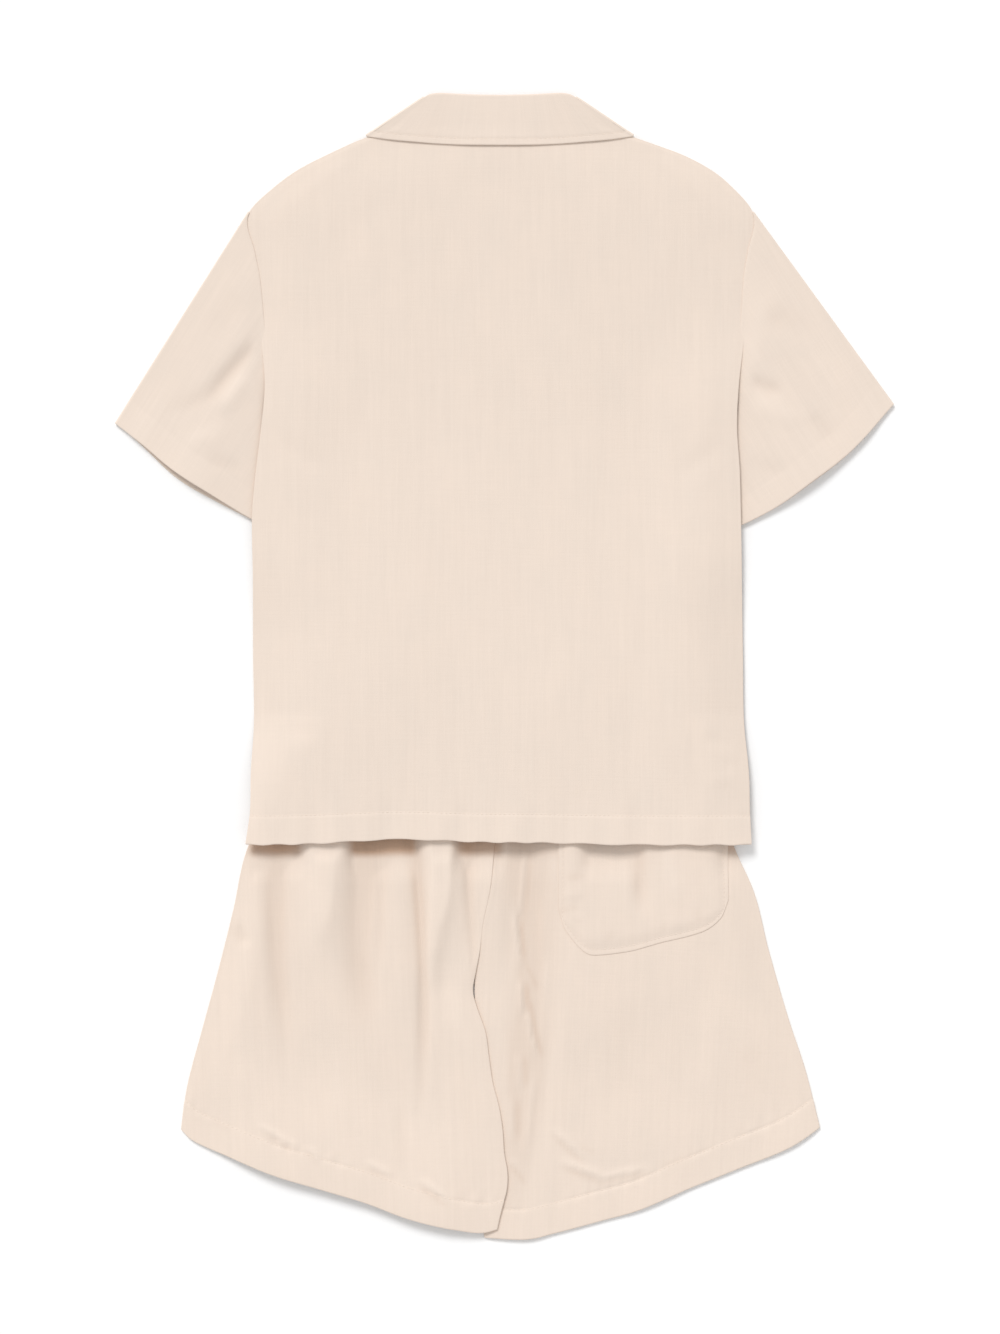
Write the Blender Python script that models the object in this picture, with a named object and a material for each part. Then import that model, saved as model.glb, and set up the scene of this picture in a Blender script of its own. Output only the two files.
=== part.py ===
"""A linen shirt and shorts set, laid flat with its back up.

The shirt has a camp collar, short sleeves and a button front. Its hem lies over the gathered waist
of the shorts, whose left leg overlaps the right one. Metres, +Z up, the surface at z = 0, +Y towards
the collar, and left is the wearer's left, at -X.
"""

import math
from collections import namedtuple

import bpy
import numpy as np

# Cloth
CLOTH = 0.0010
COLLAR_WALL = 0.0012
BAND_WALL = 0.0024
SEAM = 0.0003
LAYER = CLOTH + SEAM
SIDE_COLUMNS = 8

# Shirt
CENTRE_X = -0.0035
HEM_Y = -0.1345
UNDERARM_Y = 0.195
SLEEVE_RADIUS = 0.0008
SHOULDER_Y = 0.3454
NECK_Y = 0.4105
NECK_DIP = 0.0045
CROWN = 0.0014
CROWN_REACH = 0.032
OVERLAP = 0.010
BUTTON_RADIUS = 0.0057
BUTTON_WALL = 0.0018
BUTTON_HOLE = 0.0009
TOP_BUTTON_Y = 0.310
BUTTON_PITCH = 0.085
BUTTON_COUNT = 5
BREAK_Y = 0.321
GORGE_Y = 0.397
GORGE_HALF = 0.0475
ROLL_RADIUS = 0.0013

# Shorts
BAND_TOP_Y = -0.010
BAND_SEAM_Y = -0.036
BAND_RIPPLES = 12
SEAT_END_Y = -0.2345
GATHER_LOFT = 0.0028
LEG_STEP = 0.0034
HEM_LIFT = 0.0062
SHIRT_LIFT = 0.0098
SLEEVE_LIFT = 0.0042

NECK_HALF = 0.0660
GORGE_GAP = 0.0015
RIGHT_BREAK_Y = 0.3505
HOLE_RING = 0.0019
ARMHOLE_GAP = 0.0006
UNDERARM_GAP = 0.0010
SLEEVE_PUFF = 0.0012
CUFF_SWELL = 0.0003
CORNER_PULL = 40.0
LEFT_PEEK = 0.0042
RIGHT_PEEK = 0.0008
BAND_CLEAR = 0.0004
BAND_RIPPLE = 0.0008
LOFT_BASE = 0.0008
POCKET_CLEAR = 0.0004

# Where each slope starts and ends: along the set, or in from an edge
Span = namedtuple("Span", "low high")
SHORTS_SLOPE = Span(-0.004, 0.120)
SHORTS_BESIDE = Span(-0.005, 0.045)
SLEEVE_LOW = Span(0.036, 0.080)
SLEEVE_HIGH = Span(0.186, 0.212)
SLEEVE_IN = Span(0.020, 0.050)
LAPEL_RISE = Span(0.300, 0.326)
LAPEL_OUT = Span(0.108, 0.125)
NECK_NARROWS = Span(0.395, NECK_Y)
STEP_DOWN = Span(-0.200, -0.238)
STEP_IN = Span(-0.034, -0.004)
HEM_RISE = Span(0.0, 0.100)
HEM_RISE_OUT = Span(-0.238, -0.180)
LOFT_FADES = Span(-0.350, -0.170)
BAND_HOLDS = Span(-0.075, BAND_SEAM_Y)
LEGS_PART = Span(SEAT_END_Y + 0.030, SEAT_END_Y - 0.010)
SIDE_HOLDS = Span(0.0, 0.030)
INNER_HOLDS = Span(0.018, 0.048)
HEM_HOLDS = Span(-0.010, 0.060)
FOLD_STARTS = Span(-0.055, 0.0)

LINEN = (0.80, 0.68, 0.57, 1.0)
HORN = (0.62, 0.50, 0.38, 1.0)

# The body's outline from hem to neck: side seams, armholes, then shoulders.
Outline = namedtuple("Outline", "y left right")
BODY = [
    Outline(-0.1345, -0.1955, 0.1866),
    Outline(-0.1129, -0.1925, 0.1856),
    Outline(-0.0787, -0.1918, 0.1848),
    Outline(-0.0483, -0.1900, 0.1818),
    Outline(0.0100, -0.1905, 0.1806),
    Outline(0.0700, -0.1905, 0.1796),
    Outline(0.1200, -0.1908, 0.1788),
    Outline(0.1500, -0.1880, 0.1780),
    Outline(0.1800, -0.1843, 0.1760),
    Outline(0.2139, -0.1815, 0.1775),
    Outline(0.2450, -0.1840, 0.1812),
    Outline(0.2900, -0.1883, 0.1845),
    Outline(0.3165, -0.1911, 0.1862),
    Outline(0.3454, -0.1934, 0.1881),
    Outline(0.3621, -0.1767, 0.1744),
    Outline(0.3773, -0.1560, 0.1560),
    Outline(0.3900, -0.1310, 0.1310),
    Outline(0.4000, -0.1080, 0.1020),
    Outline(0.4105, -0.0780, 0.0730),
]

# Each sleeve's cuff edge, from the tip on the fold to the corner under the arm.
Spot = namedtuple("Spot", "share x y")
LEFT_CUFF = [
    Spot(0.00, -0.2945, 0.1843),
    Spot(0.18, -0.2757, 0.1697),
    Spot(0.40, -0.2524, 0.1501),
    Spot(0.66, -0.2228, 0.1310),
    Spot(0.90, -0.1930, 0.1130),
    Spot(1.00, -0.1838, 0.1085),
]
RIGHT_CUFF = [
    Spot(0.00, 0.2945, 0.1985),
    Spot(0.30, 0.2629, 0.1639),
    Spot(0.56, 0.2332, 0.1406),
    Spot(0.82, 0.1994, 0.1174),
    Spot(0.93, 0.1803, 0.1080),
    Spot(1.00, 0.1715, 0.1058),
]

# Edges of the legs, from the waist down: the seat seam that they share, each side seam and inner edge.
Edge = namedtuple("Edge", "y x")
SEAT_SEAM = [
    Edge(-0.0360, -0.0095),
    Edge(-0.1395, -0.0080),
    Edge(-0.1691, -0.0110),
    Edge(-0.1949, -0.0163),
    Edge(-0.2170, -0.0190),
    Edge(-0.2345, -0.0224),
]
LEFT_INNER = SEAT_SEAM + [
    Edge(-0.2451, -0.0242),
    Edge(-0.2560, -0.0220),
    Edge(-0.2656, -0.0194),
    Edge(-0.2953, -0.0118),
    Edge(-0.3226, -0.0072),
    Edge(-0.3477, -0.0027),
    Edge(-0.3700, 0.0000),
    Edge(-0.3933, 0.0010),
    Edge(-0.4080, -0.0012),
    Edge(-0.4268, -0.0057),
]
RIGHT_INNER = SEAT_SEAM + [
    Edge(-0.2451, -0.0225),
    Edge(-0.2702, -0.0222),
    Edge(-0.3295, -0.0205),
    Edge(-0.3800, -0.0180),
    Edge(-0.4334, -0.0150),
]
LEFT_SIDE = [
    Edge(-0.0360, -0.1320),
    Edge(-0.0800, -0.1640),
    Edge(-0.1400, -0.1955),
    Edge(-0.1850, -0.2056),
    Edge(-0.2345, -0.2180),
    Edge(-0.2750, -0.2290),
    Edge(-0.3250, -0.2418),
    Edge(-0.3515, -0.2451),
]
RIGHT_SIDE = [
    Edge(-0.0360, 0.1350),
    Edge(-0.0800, 0.1560),
    Edge(-0.1417, 0.1759),
    Edge(-0.1676, 0.1877),
    Edge(-0.2155, 0.2003),
    Edge(-0.2702, 0.2162),
    Edge(-0.3044, 0.2276),
    Edge(-0.3500, 0.2390),
]
LEFT_HEM = [
    Spot(0.00, -0.2451, -0.3515),
    Spot(0.06, -0.2371, -0.3591),
    Spot(0.16, -0.2086, -0.3716),
    Spot(0.30, -0.1744, -0.3853),
    Spot(0.44, -0.1402, -0.3956),
    Spot(0.58, -0.1060, -0.4058),
    Spot(0.73, -0.0718, -0.4184),
    Spot(0.87, -0.0376, -0.4264),
    Spot(0.96, -0.0148, -0.4290),
    Spot(1.00, -0.0057, -0.4268),
]
RIGHT_HEM = [
    Spot(0.00, 0.2390, -0.3500),
    Spot(0.09, 0.2208, -0.3625),
    Spot(0.27, 0.1752, -0.3819),
    Spot(0.40, 0.1410, -0.3956),
    Spot(0.56, 0.0999, -0.4131),
    Spot(0.68, 0.0726, -0.4207),
    Spot(0.81, 0.0384, -0.4298),
    Spot(0.91, 0.0156, -0.4346),
    Spot(1.00, -0.0150, -0.4334),
]
Leg = namedtuple("Leg", "side inner hem")
LEFT_LEG = Leg(LEFT_SIDE, LEFT_INNER, LEFT_HEM)
RIGHT_LEG = Leg(RIGHT_SIDE, RIGHT_INNER, RIGHT_HEM)

# Folds that fall from the gathered waist: a ridge rises and a trough is negative. Each runs from
# its top to its end, where it has faded out.
Fold = namedtuple("Fold", "x_top y_top x_end y_end rise width")
FOLDS = [
    Fold(-0.172, -0.09, -0.176, -0.30, -0.0030, 0.015),
    Fold(-0.132, -0.09, -0.142, -0.26, 0.0028, 0.013),
    Fold(-0.094, -0.08, -0.112, -0.29, -0.0036, 0.015),
    Fold(-0.068, -0.09, -0.064, -0.34, -0.0022, 0.009),
    Fold(-0.052, -0.08, -0.040, -0.30, 0.0032, 0.010),
    Fold(-0.027, -0.09, -0.026, -0.25, -0.0026, 0.009),
    Fold(0.010, -0.08, 0.024, -0.36, -0.0032, 0.011),
    Fold(0.038, -0.08, 0.046, -0.22, 0.0010, 0.012),
    Fold(0.078, -0.07, 0.082, -0.19, -0.0036, 0.014),
    Fold(0.132, -0.07, 0.146, -0.24, 0.0015, 0.017),
    Fold(0.104, -0.10, 0.114, -0.22, -0.0012, 0.010),
]

# Half of the collar, as places away from the centre line: the neck seam, the roll line and the leaf's
# edge. It turns round the shoulder from the back, turn 0, to the front, turn 1.
Collar = namedtuple("Collar", "seam_x seam_y roll_x roll_y edge_x edge_y turn")
COLLAR = [
    Collar(0.0000, 0.4063, 0.0000, 0.4330, 0.0000, 0.3956, 0.0),
    Collar(0.0190, 0.4066, 0.0190, 0.4333, 0.0230, 0.3958, 0.0),
    Collar(0.0370, 0.4076, 0.0360, 0.4341, 0.0450, 0.3967, 0.0),
    Collar(0.0550, 0.4091, 0.0450, 0.4345, 0.0660, 0.3984, 0.0),
    Collar(0.0680, 0.4106, 0.0520, 0.4338, 0.0850, 0.4002, 0.0),
    Collar(0.0775, 0.4118, 0.0575, 0.4310, 0.1005, 0.4025, 0.0),
    Collar(0.0775, 0.4118, 0.0575, 0.4310, 0.1005, 0.4025, 0.25),
    Collar(0.0775, 0.4118, 0.0575, 0.4310, 0.1005, 0.4025, 0.5),
    Collar(0.0775, 0.4118, 0.0575, 0.4310, 0.1005, 0.4025, 0.75),
    Collar(0.0775, 0.4118, 0.0575, 0.4310, 0.1005, 0.4025, 1.0),
    Collar(0.0700, 0.4116, 0.0550, 0.4270, 0.1004, 0.3940, 1.0),
    Collar(0.0630, 0.4110, 0.0530, 0.4190, 0.0985, 0.3780, 1.0),
    Collar(0.0545, 0.4044, 0.0490, 0.4110, 0.0968, 0.3620, 1.0),
    Collar(0.0482, 0.3994, 0.0440, 0.4040, 0.0945, 0.3460, 1.0),
]

# The lapel's corners, away from the centre line: roll line, tip, notch and gorge.
Corner = namedtuple("Corner", "x y")
LAPEL_TIP = Corner(0.0600, 0.3330)
LAPEL_NOTCH = Corner(0.0690, 0.3700)

# The back pocket: its sides, and its lower edge from left to right.
POCKET_LEFT = 0.0411
POCKET_RIGHT = 0.1695
POCKET_TOP_Y = -0.0860
POCKET_EDGE = [
    Spot(0.00, 0.0411, -0.1835),
    Spot(0.05, 0.0464, -0.1995),
    Spot(0.20, 0.0669, -0.2185),
    Spot(0.38, 0.0908, -0.2162),
    Spot(0.60, 0.1182, -0.2091),
    Spot(0.85, 0.1501, -0.2006),
    Spot(0.95, 0.1638, -0.1904),
    Spot(1.00, 0.1695, -0.1767),
]


def ease(low, high, value):
    """0 at low, 1 at high, and smooth between them."""
    share = min(1.0, max(0.0, (value - low) / (high - low)))
    return share * share * (3 - 2 * share)


def bell(value, width):
    """1 at 0, falling away on both sides within about two widths."""
    return math.exp(-((value / width) ** 2))


def through(table, column, at):
    """A smooth curve through one column of a table, read at a value of its first column."""
    knots = np.array([row[0] for row in table])
    values = np.array([getattr(row, column) for row in table])
    if knots[0] > knots[-1]:
        knots, values = knots[::-1], values[::-1]
    slopes = np.gradient(values, knots)
    low = int(np.clip(np.searchsorted(knots, at) - 1, 0, len(knots) - 2))
    step = knots[low + 1] - knots[low]
    t = min(1.0, max(0.0, (at - knots[low]) / step))
    start, end = values[low], values[low + 1]
    return float(
        (2 * t**3 - 3 * t**2 + 1) * start
        + (t**3 - 2 * t**2 + t) * step * slopes[low]
        + (3 * t**2 - 2 * t**3) * end
        + (t**3 - t**2) * step * slopes[low + 1]
    )


def hem_y(x):
    """The shirt's hem, which waves a little across the shorts."""
    return HEM_Y + 0.0042 * bell(x + 0.078, 0.055) + 0.0016 * bell(x - 0.020, 0.050)


def hem_of_leg(leg, x):
    """How far down a leg's hem lies at a place across it."""
    rows = sorted(leg.hem, key=lambda spot: spot.x)
    return float(np.interp(x, [spot.x for spot in rows], [spot.y for spot in rows]))


def to_side(x, y):
    """How far a place on the shirt's body lies in from the nearer side of its outline."""
    return min(x - through(BODY, "left", y), through(BODY, "right", y) - x)


def over_shorts(x, y):
    """How much of the shorts' height lifts the shirt at a place: 1 over them, 0 beside them."""
    side_y = min(y, BAND_SEAM_Y)
    beside = max(through(LEFT_SIDE, "x", side_y) - x, x - through(RIGHT_SIDE, "x", side_y))
    return (1 - ease(*SHORTS_SLOPE, y)) * (1 - ease(*SHORTS_BESIDE, beside))


def over_sleeve(x, y):
    """How much a sleeve that is tucked under the body's side lifts that side."""
    along = ease(*SLEEVE_LOW, y) * (1 - ease(*SLEEVE_HIGH, y))
    return along * (1 - ease(*SLEEVE_IN, to_side(x, y)))


def over_lapels(x, y):
    """How much the lapels and the collar's front lift the shirt's front."""
    return ease(*LAPEL_RISE, y) * (1 - ease(*LAPEL_OUT, abs(x - CENTRE_X)))


def beside_placket(x):
    """1 where the fronts overlap, and 0 well beside that strip."""
    return bell(max(0.0, abs(x - CENTRE_X) - 2 * OVERLAP), 0.012)


def front_z(x, y, outer=True):
    """The middle of a front. The outer one lies lowest, with the buttons under its strip."""
    shorts = over_shorts(x, y)
    buttons = beside_placket(x) * (BUTTON_WALL + SEAM) * (1 - shorts)
    lapels = over_lapels(x, y) * (COLLAR_WALL + SEAM)
    lift = max(buttons, lapels) + SHIRT_LIFT * shorts + SLEEVE_LIFT * over_sleeve(x, y)
    return CLOTH / 2 + lift + (0.0 if outer else LAYER * beside_placket(x))


def back_z(x, y):
    """The middle of the shirt's back: on the front at its edges, and clear of the strip between them."""
    y = min(y, NECK_Y)
    shorts = over_shorts(x, y)
    reach = CROWN_REACH * (1 - 0.5 * ease(*NECK_NARROWS, y))
    inside = ease(0.0, reach, to_side(x, y))
    crown = CROWN + (BUTTON_WALL + SEAM) * (1 - shorts)
    rise = crown * inside + over_lapels(x, y) * (COLLAR_WALL + SEAM) * (1 - inside)
    return CLOTH / 2 + LAYER + rise + SHIRT_LIFT * shorts + SLEEVE_LIFT * over_sleeve(x, y)


def fold_height(x, y):
    """The sum of the folds at a place on the shorts' back."""
    height = 0.0
    for fold in FOLDS:
        run_x, run_y = fold.x_end - fold.x_top, fold.y_end - fold.y_top
        length = math.hypot(run_x, run_y)
        along = ((x - fold.x_top) * run_x + (y - fold.y_top) * run_y) / length
        across = ((x - fold.x_top) * run_y - (y - fold.y_top) * run_x) / length
        strength = (1 - ease(0.25 * length, length, along)) * ease(*FOLD_STARTS, along)
        height += fold.rise * strength * bell(across, fold.width)
    return height


def leg_front_z(x, y, leg):
    """The middle of a leg's front layer. The left leg climbs on the right one along its inner edge."""
    if leg is RIGHT_LEG:
        return CLOTH / 2
    beside = through(RIGHT_INNER, "x", y)
    step = LEG_STEP * ease(*STEP_DOWN, y) * ease(*STEP_IN, x - beside)
    lift = HEM_LIFT * (1 - ease(*HEM_RISE, y - hem_of_leg(leg, x))) * ease(*HEM_RISE_OUT, x)
    return CLOTH / 2 + max(step, lift) + 0.3 * min(step, lift)


def leg_back_z(x, y, leg):
    """The middle of a leg's back layer: on the front at its seams, and lofted by the gathers."""
    side = abs(x - through(leg.side, "x", y))
    inner = abs(x - through(leg.inner, "x", y))
    loft = GATHER_LOFT * ease(*LOFT_FADES, y) + fold_height(x, y)
    loft += (BAND_WALL + SEAM + BAND_CLEAR - loft) * ease(*BAND_HOLDS, y)
    legs = ease(*LEGS_PART, y)
    held = ease(*SIDE_HOLDS, side) * (1 - legs * (1 - ease(*INNER_HOLDS, inner)))
    held *= ease(*HEM_HOLDS, y - hem_of_leg(leg, x))
    return leg_front_z(x, y, leg) + LAYER + max(0.0, loft + LOFT_BASE) * held


def clear_scene():
    """Start from nothing."""
    for old in list(bpy.data.objects):
        bpy.data.objects.remove(old)


def finish(name, colour, roughness):
    """A material for one piece."""
    material = bpy.data.materials.new(name)
    material.use_nodes = True
    shader = material.node_tree.nodes["Principled BSDF"]
    shader.inputs["Base Color"].default_value = colour
    shader.inputs["Roughness"].default_value = roughness
    shader.inputs["Metallic"].default_value = 0.0
    return material


def sheet(name, rows, wall=CLOTH, ring=False, colour=LINEN):
    """A cloth wall on a grid of points that lie in its middle. A ring closes each row on itself."""
    across = len(rows[0])
    points = [point for row in rows for point in row]
    faces = []
    for i in range(len(rows) - 1):
        for j in range(across if ring else across - 1):
            k = (j + 1) % across
            low, high = i * across, (i + 1) * across
            faces.append((low + j, low + k, high + k, high + j))
    mesh = bpy.data.meshes.new(name)
    mesh.from_pydata(points, [], faces)
    mesh.shade_smooth()
    piece = bpy.data.objects.new(name, mesh)
    bpy.context.scene.collection.objects.link(piece)
    thick = piece.modifiers.new("wall", "SOLIDIFY")
    thick.thickness = wall
    thick.offset = 0.0
    thick.use_even_offset = True
    mesh.materials.append(finish(name, colour, 0.9))
    return piece


def body_rows():
    """How far up each row of the body lies, the same for back and fronts, so that their seams meet."""
    skirt = np.linspace(HEM_Y, 0.150, 10)[:-1]
    arm = np.linspace(0.150, SHOULDER_Y, 9)[:-1]
    shoulder = np.linspace(SHOULDER_Y, NECK_Y, 6)
    return [float(y) for y in (*skirt, *arm, *shoulder)]


def columns_from(inside, outside, starts):
    """Places across a panel's half: some at its inner edge, then even ones out to its side seam."""
    wide = outside - inside
    near = [start * min(1.0, abs(wide) / 0.070) for start in starts]
    near = [math.copysign(start, wide) for start in near]
    far = [near[-1] + (wide - near[-1]) * (k + 1) / SIDE_COLUMNS for k in range(SIDE_COLUMNS)]
    return [inside + step for step in near + far]


def lowered(x, y):
    """How far the wave of the hem moves a place near it."""
    return (hem_y(x) - HEM_Y) * (1 - ease(HEM_Y, HEM_Y + 0.06, y))


def shirt_back():
    """The back, in one piece, with no yoke."""
    rows = []
    for y in body_rows():
        left, right = through(BODY, "left", y), through(BODY, "right", y)
        starts = (OVERLAP, OVERLAP + 0.004)
        places = columns_from(CENTRE_X, left, starts)[::-1] + [CENTRE_X]
        places += columns_from(CENTRE_X, right, starts)
        row = []
        for x in places:
            off = min(1.0, abs(x - CENTRE_X) / (CENTRE_X - left))
            dip = NECK_DIP * ease(SHOULDER_Y, NECK_Y, y) * (1 - off**2)
            row.append((x, y - dip + lowered(x, y), back_z(x, y)))
        rows.append(row)
    return sheet("shirt_back", rows)


def roll_line(y):
    """How far the neck edge of a front lies from the centre line at a height."""
    if y < BREAK_Y:
        return -OVERLAP
    if y < GORGE_Y:
        return -OVERLAP + (GORGE_HALF + OVERLAP) * (y - BREAK_Y) / (GORGE_Y - BREAK_Y)
    return GORGE_HALF + (NECK_HALF - GORGE_HALF) * (y - GORGE_Y) / (NECK_Y - GORGE_Y)


def shirt_front(name, side):
    """One front, from its overlapped edge to its side seam. Side is -1 for the left one."""
    rows = []
    for y in body_rows():
        outside = through(BODY, "left" if side < 0 else "right", y)
        inside = CENTRE_X + side * roll_line(y)
        starts = (0.0, OVERLAP, 2 * OVERLAP, 2 * OVERLAP + 0.004)
        places = columns_from(inside, outside, starts)
        row = [(x, y + lowered(x, y), front_z(x, y, outer=side < 0)) for x in places]
        rows.append(row[::-1] if side < 0 else row)
    return sheet(name, rows)


def lapel(name, side, rows=4, columns=4):
    """The turned-out top of a front, under it along the roll line."""
    start = BREAK_Y if side < 0 else RIGHT_BREAK_Y
    grid = []
    for down in np.linspace(0.0, 1.0, rows + 1):
        roll_y = start + (GORGE_Y - GORGE_GAP - start) * down
        roll_x = roll_line(roll_y)
        out_x = LAPEL_TIP.x + (LAPEL_NOTCH.x - LAPEL_TIP.x) * down
        out_y = LAPEL_TIP.y + (LAPEL_NOTCH.y - LAPEL_TIP.y) * down
        row = []
        for share in np.linspace(0.0, 1.0, columns + 1):
            x = roll_x + (out_x - roll_x) * share
            y = roll_y + (out_y - roll_y) * share
            row.append((CENTRE_X + side * x, y, COLLAR_WALL / 2))
        grid.append(row if side > 0 else row[::-1])
    return sheet(name, grid, wall=COLLAR_WALL)


def sleeve(name, side, cuff, peek, sections=7, across=8, turn=4):
    """A sleeve as a flattened tube, folded along its top. Peek is how far its under layer shows."""
    rail = "left" if side < 0 else "right"
    plan = np.zeros((sections + 1, across + 1, 2))
    for i, j in np.ndindex(sections + 1, across + 1):
        out, share = i / sections, j / across
        arm_y = SHOULDER_Y - SLEEVE_RADIUS + (UNDERARM_Y - SHOULDER_Y) * share
        arm_x = through(BODY, rail, arm_y) + side * (ARMHOLE_GAP + UNDERARM_GAP * share**4)
        plan[i, j] = (
            arm_x + (through(cuff, "x", share) - arm_x) * out,
            arm_y + (through(cuff, "y", share) - arm_y) * out,
        )
    rings = []
    for i, line in enumerate(plan):
        out = i / sections
        radius = SLEEVE_RADIUS + CUFF_SWELL * out
        middle = CLOTH / 2 + radius
        swell = [math.sin(math.pi * j / across) ** 2 for j in range(across + 1)]
        puff = SLEEVE_PUFF * (1 + out) * ease(0.0, 0.25, out)
        ring = [(x, y, middle + radius + puff * s) for (x, y), s in zip(line, swell)]
        onward = (line[-1] - line[-2]) * (1 - out)
        ring += rounded_edge(plan[:, -1], i, -side, middle, radius, turn, onward)
        show = peek * out**3
        ring += [(x, y - show * s, middle - radius) for (x, y), s in zip(line[::-1], swell)]
        ring += rounded_edge(plan[:, 0], i, side, middle, -radius, turn)
        rings.append(ring)
    return sheet(name, rings, ring=True)


def rounded_edge(line, at, side, middle, radius, turn, onward=(0.0, 0.0)):
    """The round stretch between two layers, at one place along their shared edge."""
    before, after = line[max(0, at - 1)], line[min(len(line) - 1, at + 1)]
    run = (after - before) / np.linalg.norm(after - before)
    outward = np.array((run[1], -run[0]))
    outward *= side if outward[0] > 0 else -side
    outward += np.array(onward) * CORNER_PULL
    outward /= np.linalg.norm(outward)
    points = []
    for k in range(1, turn):
        angle = math.pi * k / turn
        place = line[at] + outward * abs(radius) * math.sin(angle)
        points.append((*place, middle + radius * math.cos(angle)))
    return points


def collar():
    """The collar: its stand rises from the neck seam, rolls over and lies down as the leaf."""
    stand_top = back_z(CENTRE_X, NECK_Y)
    stand_low = CLOTH / 2 + COLLAR_WALL + 2 * SEAM
    leaf_top, leaf_low = stand_top + 2 * ROLL_RADIUS, COLLAR_WALL / 2
    grid = []
    stations = [(-1, row) for row in reversed(COLLAR[1:])] + [(1, row) for row in COLLAR]
    for side, row in stations:
        seam, roll, edge = (np.array(row[i : i + 2]) for i in (0, 2, 4))
        rise = (roll - seam) / np.linalg.norm(roll - seam)
        fall = (edge - roll) / np.linalg.norm(edge - roll)
        from_stand, from_leaf = np.array((rise[1], -rise[0])), np.array((-fall[1], fall[0]))
        sweep, drop = math.sin(math.pi * row.turn), math.cos(math.pi * row.turn)
        places = [(seam + (roll - seam) * share, 0.0) for share in (0.0, 0.45)]
        for angle in (0.0, 0.25, 0.5, 0.75, 1.0):
            reach = ROLL_RADIUS * (math.sin(math.pi * angle) - 1)
            places.append((roll + rise * reach, 0.5 - 0.5 * math.cos(math.pi * angle)))
        places += [(roll + (edge - roll) * share, 1.0) for share in (0.4, 0.7, 1.0)]
        line = []
        for place, leaf in places:
            high = stand_top + (leaf_top - stand_top) * leaf
            low = stand_low + (leaf_low - stand_low) * leaf
            radius = (high - low) / 2
            outward = from_stand + (from_leaf - from_stand) * leaf
            x, y = place + outward * radius * sweep
            line.append((CENTRE_X + side * x, y, (high + low) / 2 + radius * drop))
        grid.append(line)
    return sheet("shirt_collar", grid, wall=COLLAR_WALL)


def button(index):
    """A four-hole button under the outer front, turned about its own axis."""
    y = TOP_BUTTON_Y - BUTTON_PITCH * index
    top = min(front_z(CENTRE_X, y + away) for away in (-BUTTON_RADIUS, 0.0, BUTTON_RADIUS))
    top -= CLOTH / 2 + SEAM
    bpy.ops.mesh.primitive_cylinder_add(
        vertices=20, radius=BUTTON_RADIUS, depth=BUTTON_WALL, location=(CENTRE_X, y, top - BUTTON_WALL / 2)
    )
    disc = bpy.context.object
    disc.name = f"shirt_button_{index + 1}"
    disc.data.materials.append(finish(disc.name, HORN, 0.35))
    for side in range(4):
        angle = math.pi / 4 + side * math.pi / 2
        hole_x = CENTRE_X + HOLE_RING * math.cos(angle)
        hole_y = y + HOLE_RING * math.sin(angle)
        place = (hole_x, hole_y, top - BUTTON_WALL / 2)
        bpy.ops.mesh.primitive_cylinder_add(
            vertices=6, radius=BUTTON_HOLE, depth=2 * BUTTON_WALL, location=place
        )
        drill = bpy.context.object
        drill.name = f"drill_{index + 1}_{side}"
        drill.hide_render = True
        drill.display_type = "WIRE"
        cut = disc.modifiers.new("hole", "BOOLEAN")
        cut.operation = "DIFFERENCE"
        cut.object = drill
    return disc


def leg_grid(leg, height, rows=16, columns=18):
    """A leg's panel between its four edges, as rows from the waist seam to the hem."""
    top = BAND_SEAM_Y
    gap = SEAM * 0.7 * (-1 if leg is LEFT_LEG else 1)
    corners = [through(leg.side, "x", top), through(leg.inner, "x", top) + gap]
    grid = []
    for down in np.linspace(0.0, 1.0, rows + 1):
        side_y = top + (leg.hem[0].y - top) * down
        inner_y = float(np.interp(down, (0.0, 0.5, 1.0), (top, SEAT_END_Y, leg.hem[-1].y)))
        side = np.array((through(leg.side, "x", side_y), side_y))
        inner = np.array((through(leg.inner, "x", inner_y) + gap, inner_y))
        row = []
        for share in np.linspace(0.0, 1.0, columns + 1):
            across = (1 - share) * side + share * inner
            waist = np.array((corners[0] + (corners[1] - corners[0]) * share, top))
            hem = np.array((through(leg.hem, "x", share) + gap * share, through(leg.hem, "y", share)))
            ends = (1 - down) * waist + down * hem
            straight = (1 - down) * waist + down * (
                (1 - share) * np.array((leg.hem[0].x, leg.hem[0].y))
                + share * np.array((leg.hem[-1].x + gap, leg.hem[-1].y))
            )
            x, y = across + ends - straight
            row.append((float(x), float(y), height(float(x), float(y), leg)))
        grid.append(row)
    return grid


def waistband(columns=49, rows=2):
    """The elastic waistband: a flattened ring, rippled on its upper side."""
    left, right = LEFT_SIDE[0].x, RIGHT_SIDE[0].x
    radius = (BAND_WALL + SEAM) / 2
    low = BAND_WALL / 2
    rings = []
    for up in np.linspace(0.0, 1.0, rows + 1):
        y = BAND_SEAM_Y + 2 * SEAM + (BAND_TOP_Y - BAND_SEAM_Y) * up
        ring = []
        for share in np.linspace(0.0, 1.0, columns):
            ripple = 0.5 - 0.5 * math.cos(2 * math.pi * BAND_RIPPLES * share)
            ring.append((left + (right - left) * share, y, low + 2 * radius + BAND_RIPPLE * ripple))
        for angle in (math.pi / 4, math.pi / 2, 3 * math.pi / 4):
            ring.append((right + radius * math.sin(angle), y, low + radius * (1 + math.cos(angle))))
        for share in np.linspace(1.0, 0.0, 9):
            ring.append((left + (right - left) * share, y, low))
        for angle in (3 * math.pi / 4, math.pi / 2, math.pi / 4):
            ring.append((left - radius * math.sin(angle), y, low + radius * (1 + math.cos(angle))))
        rings.append(ring)
    return sheet("shorts_waistband", rings, wall=BAND_WALL, ring=True)


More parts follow.
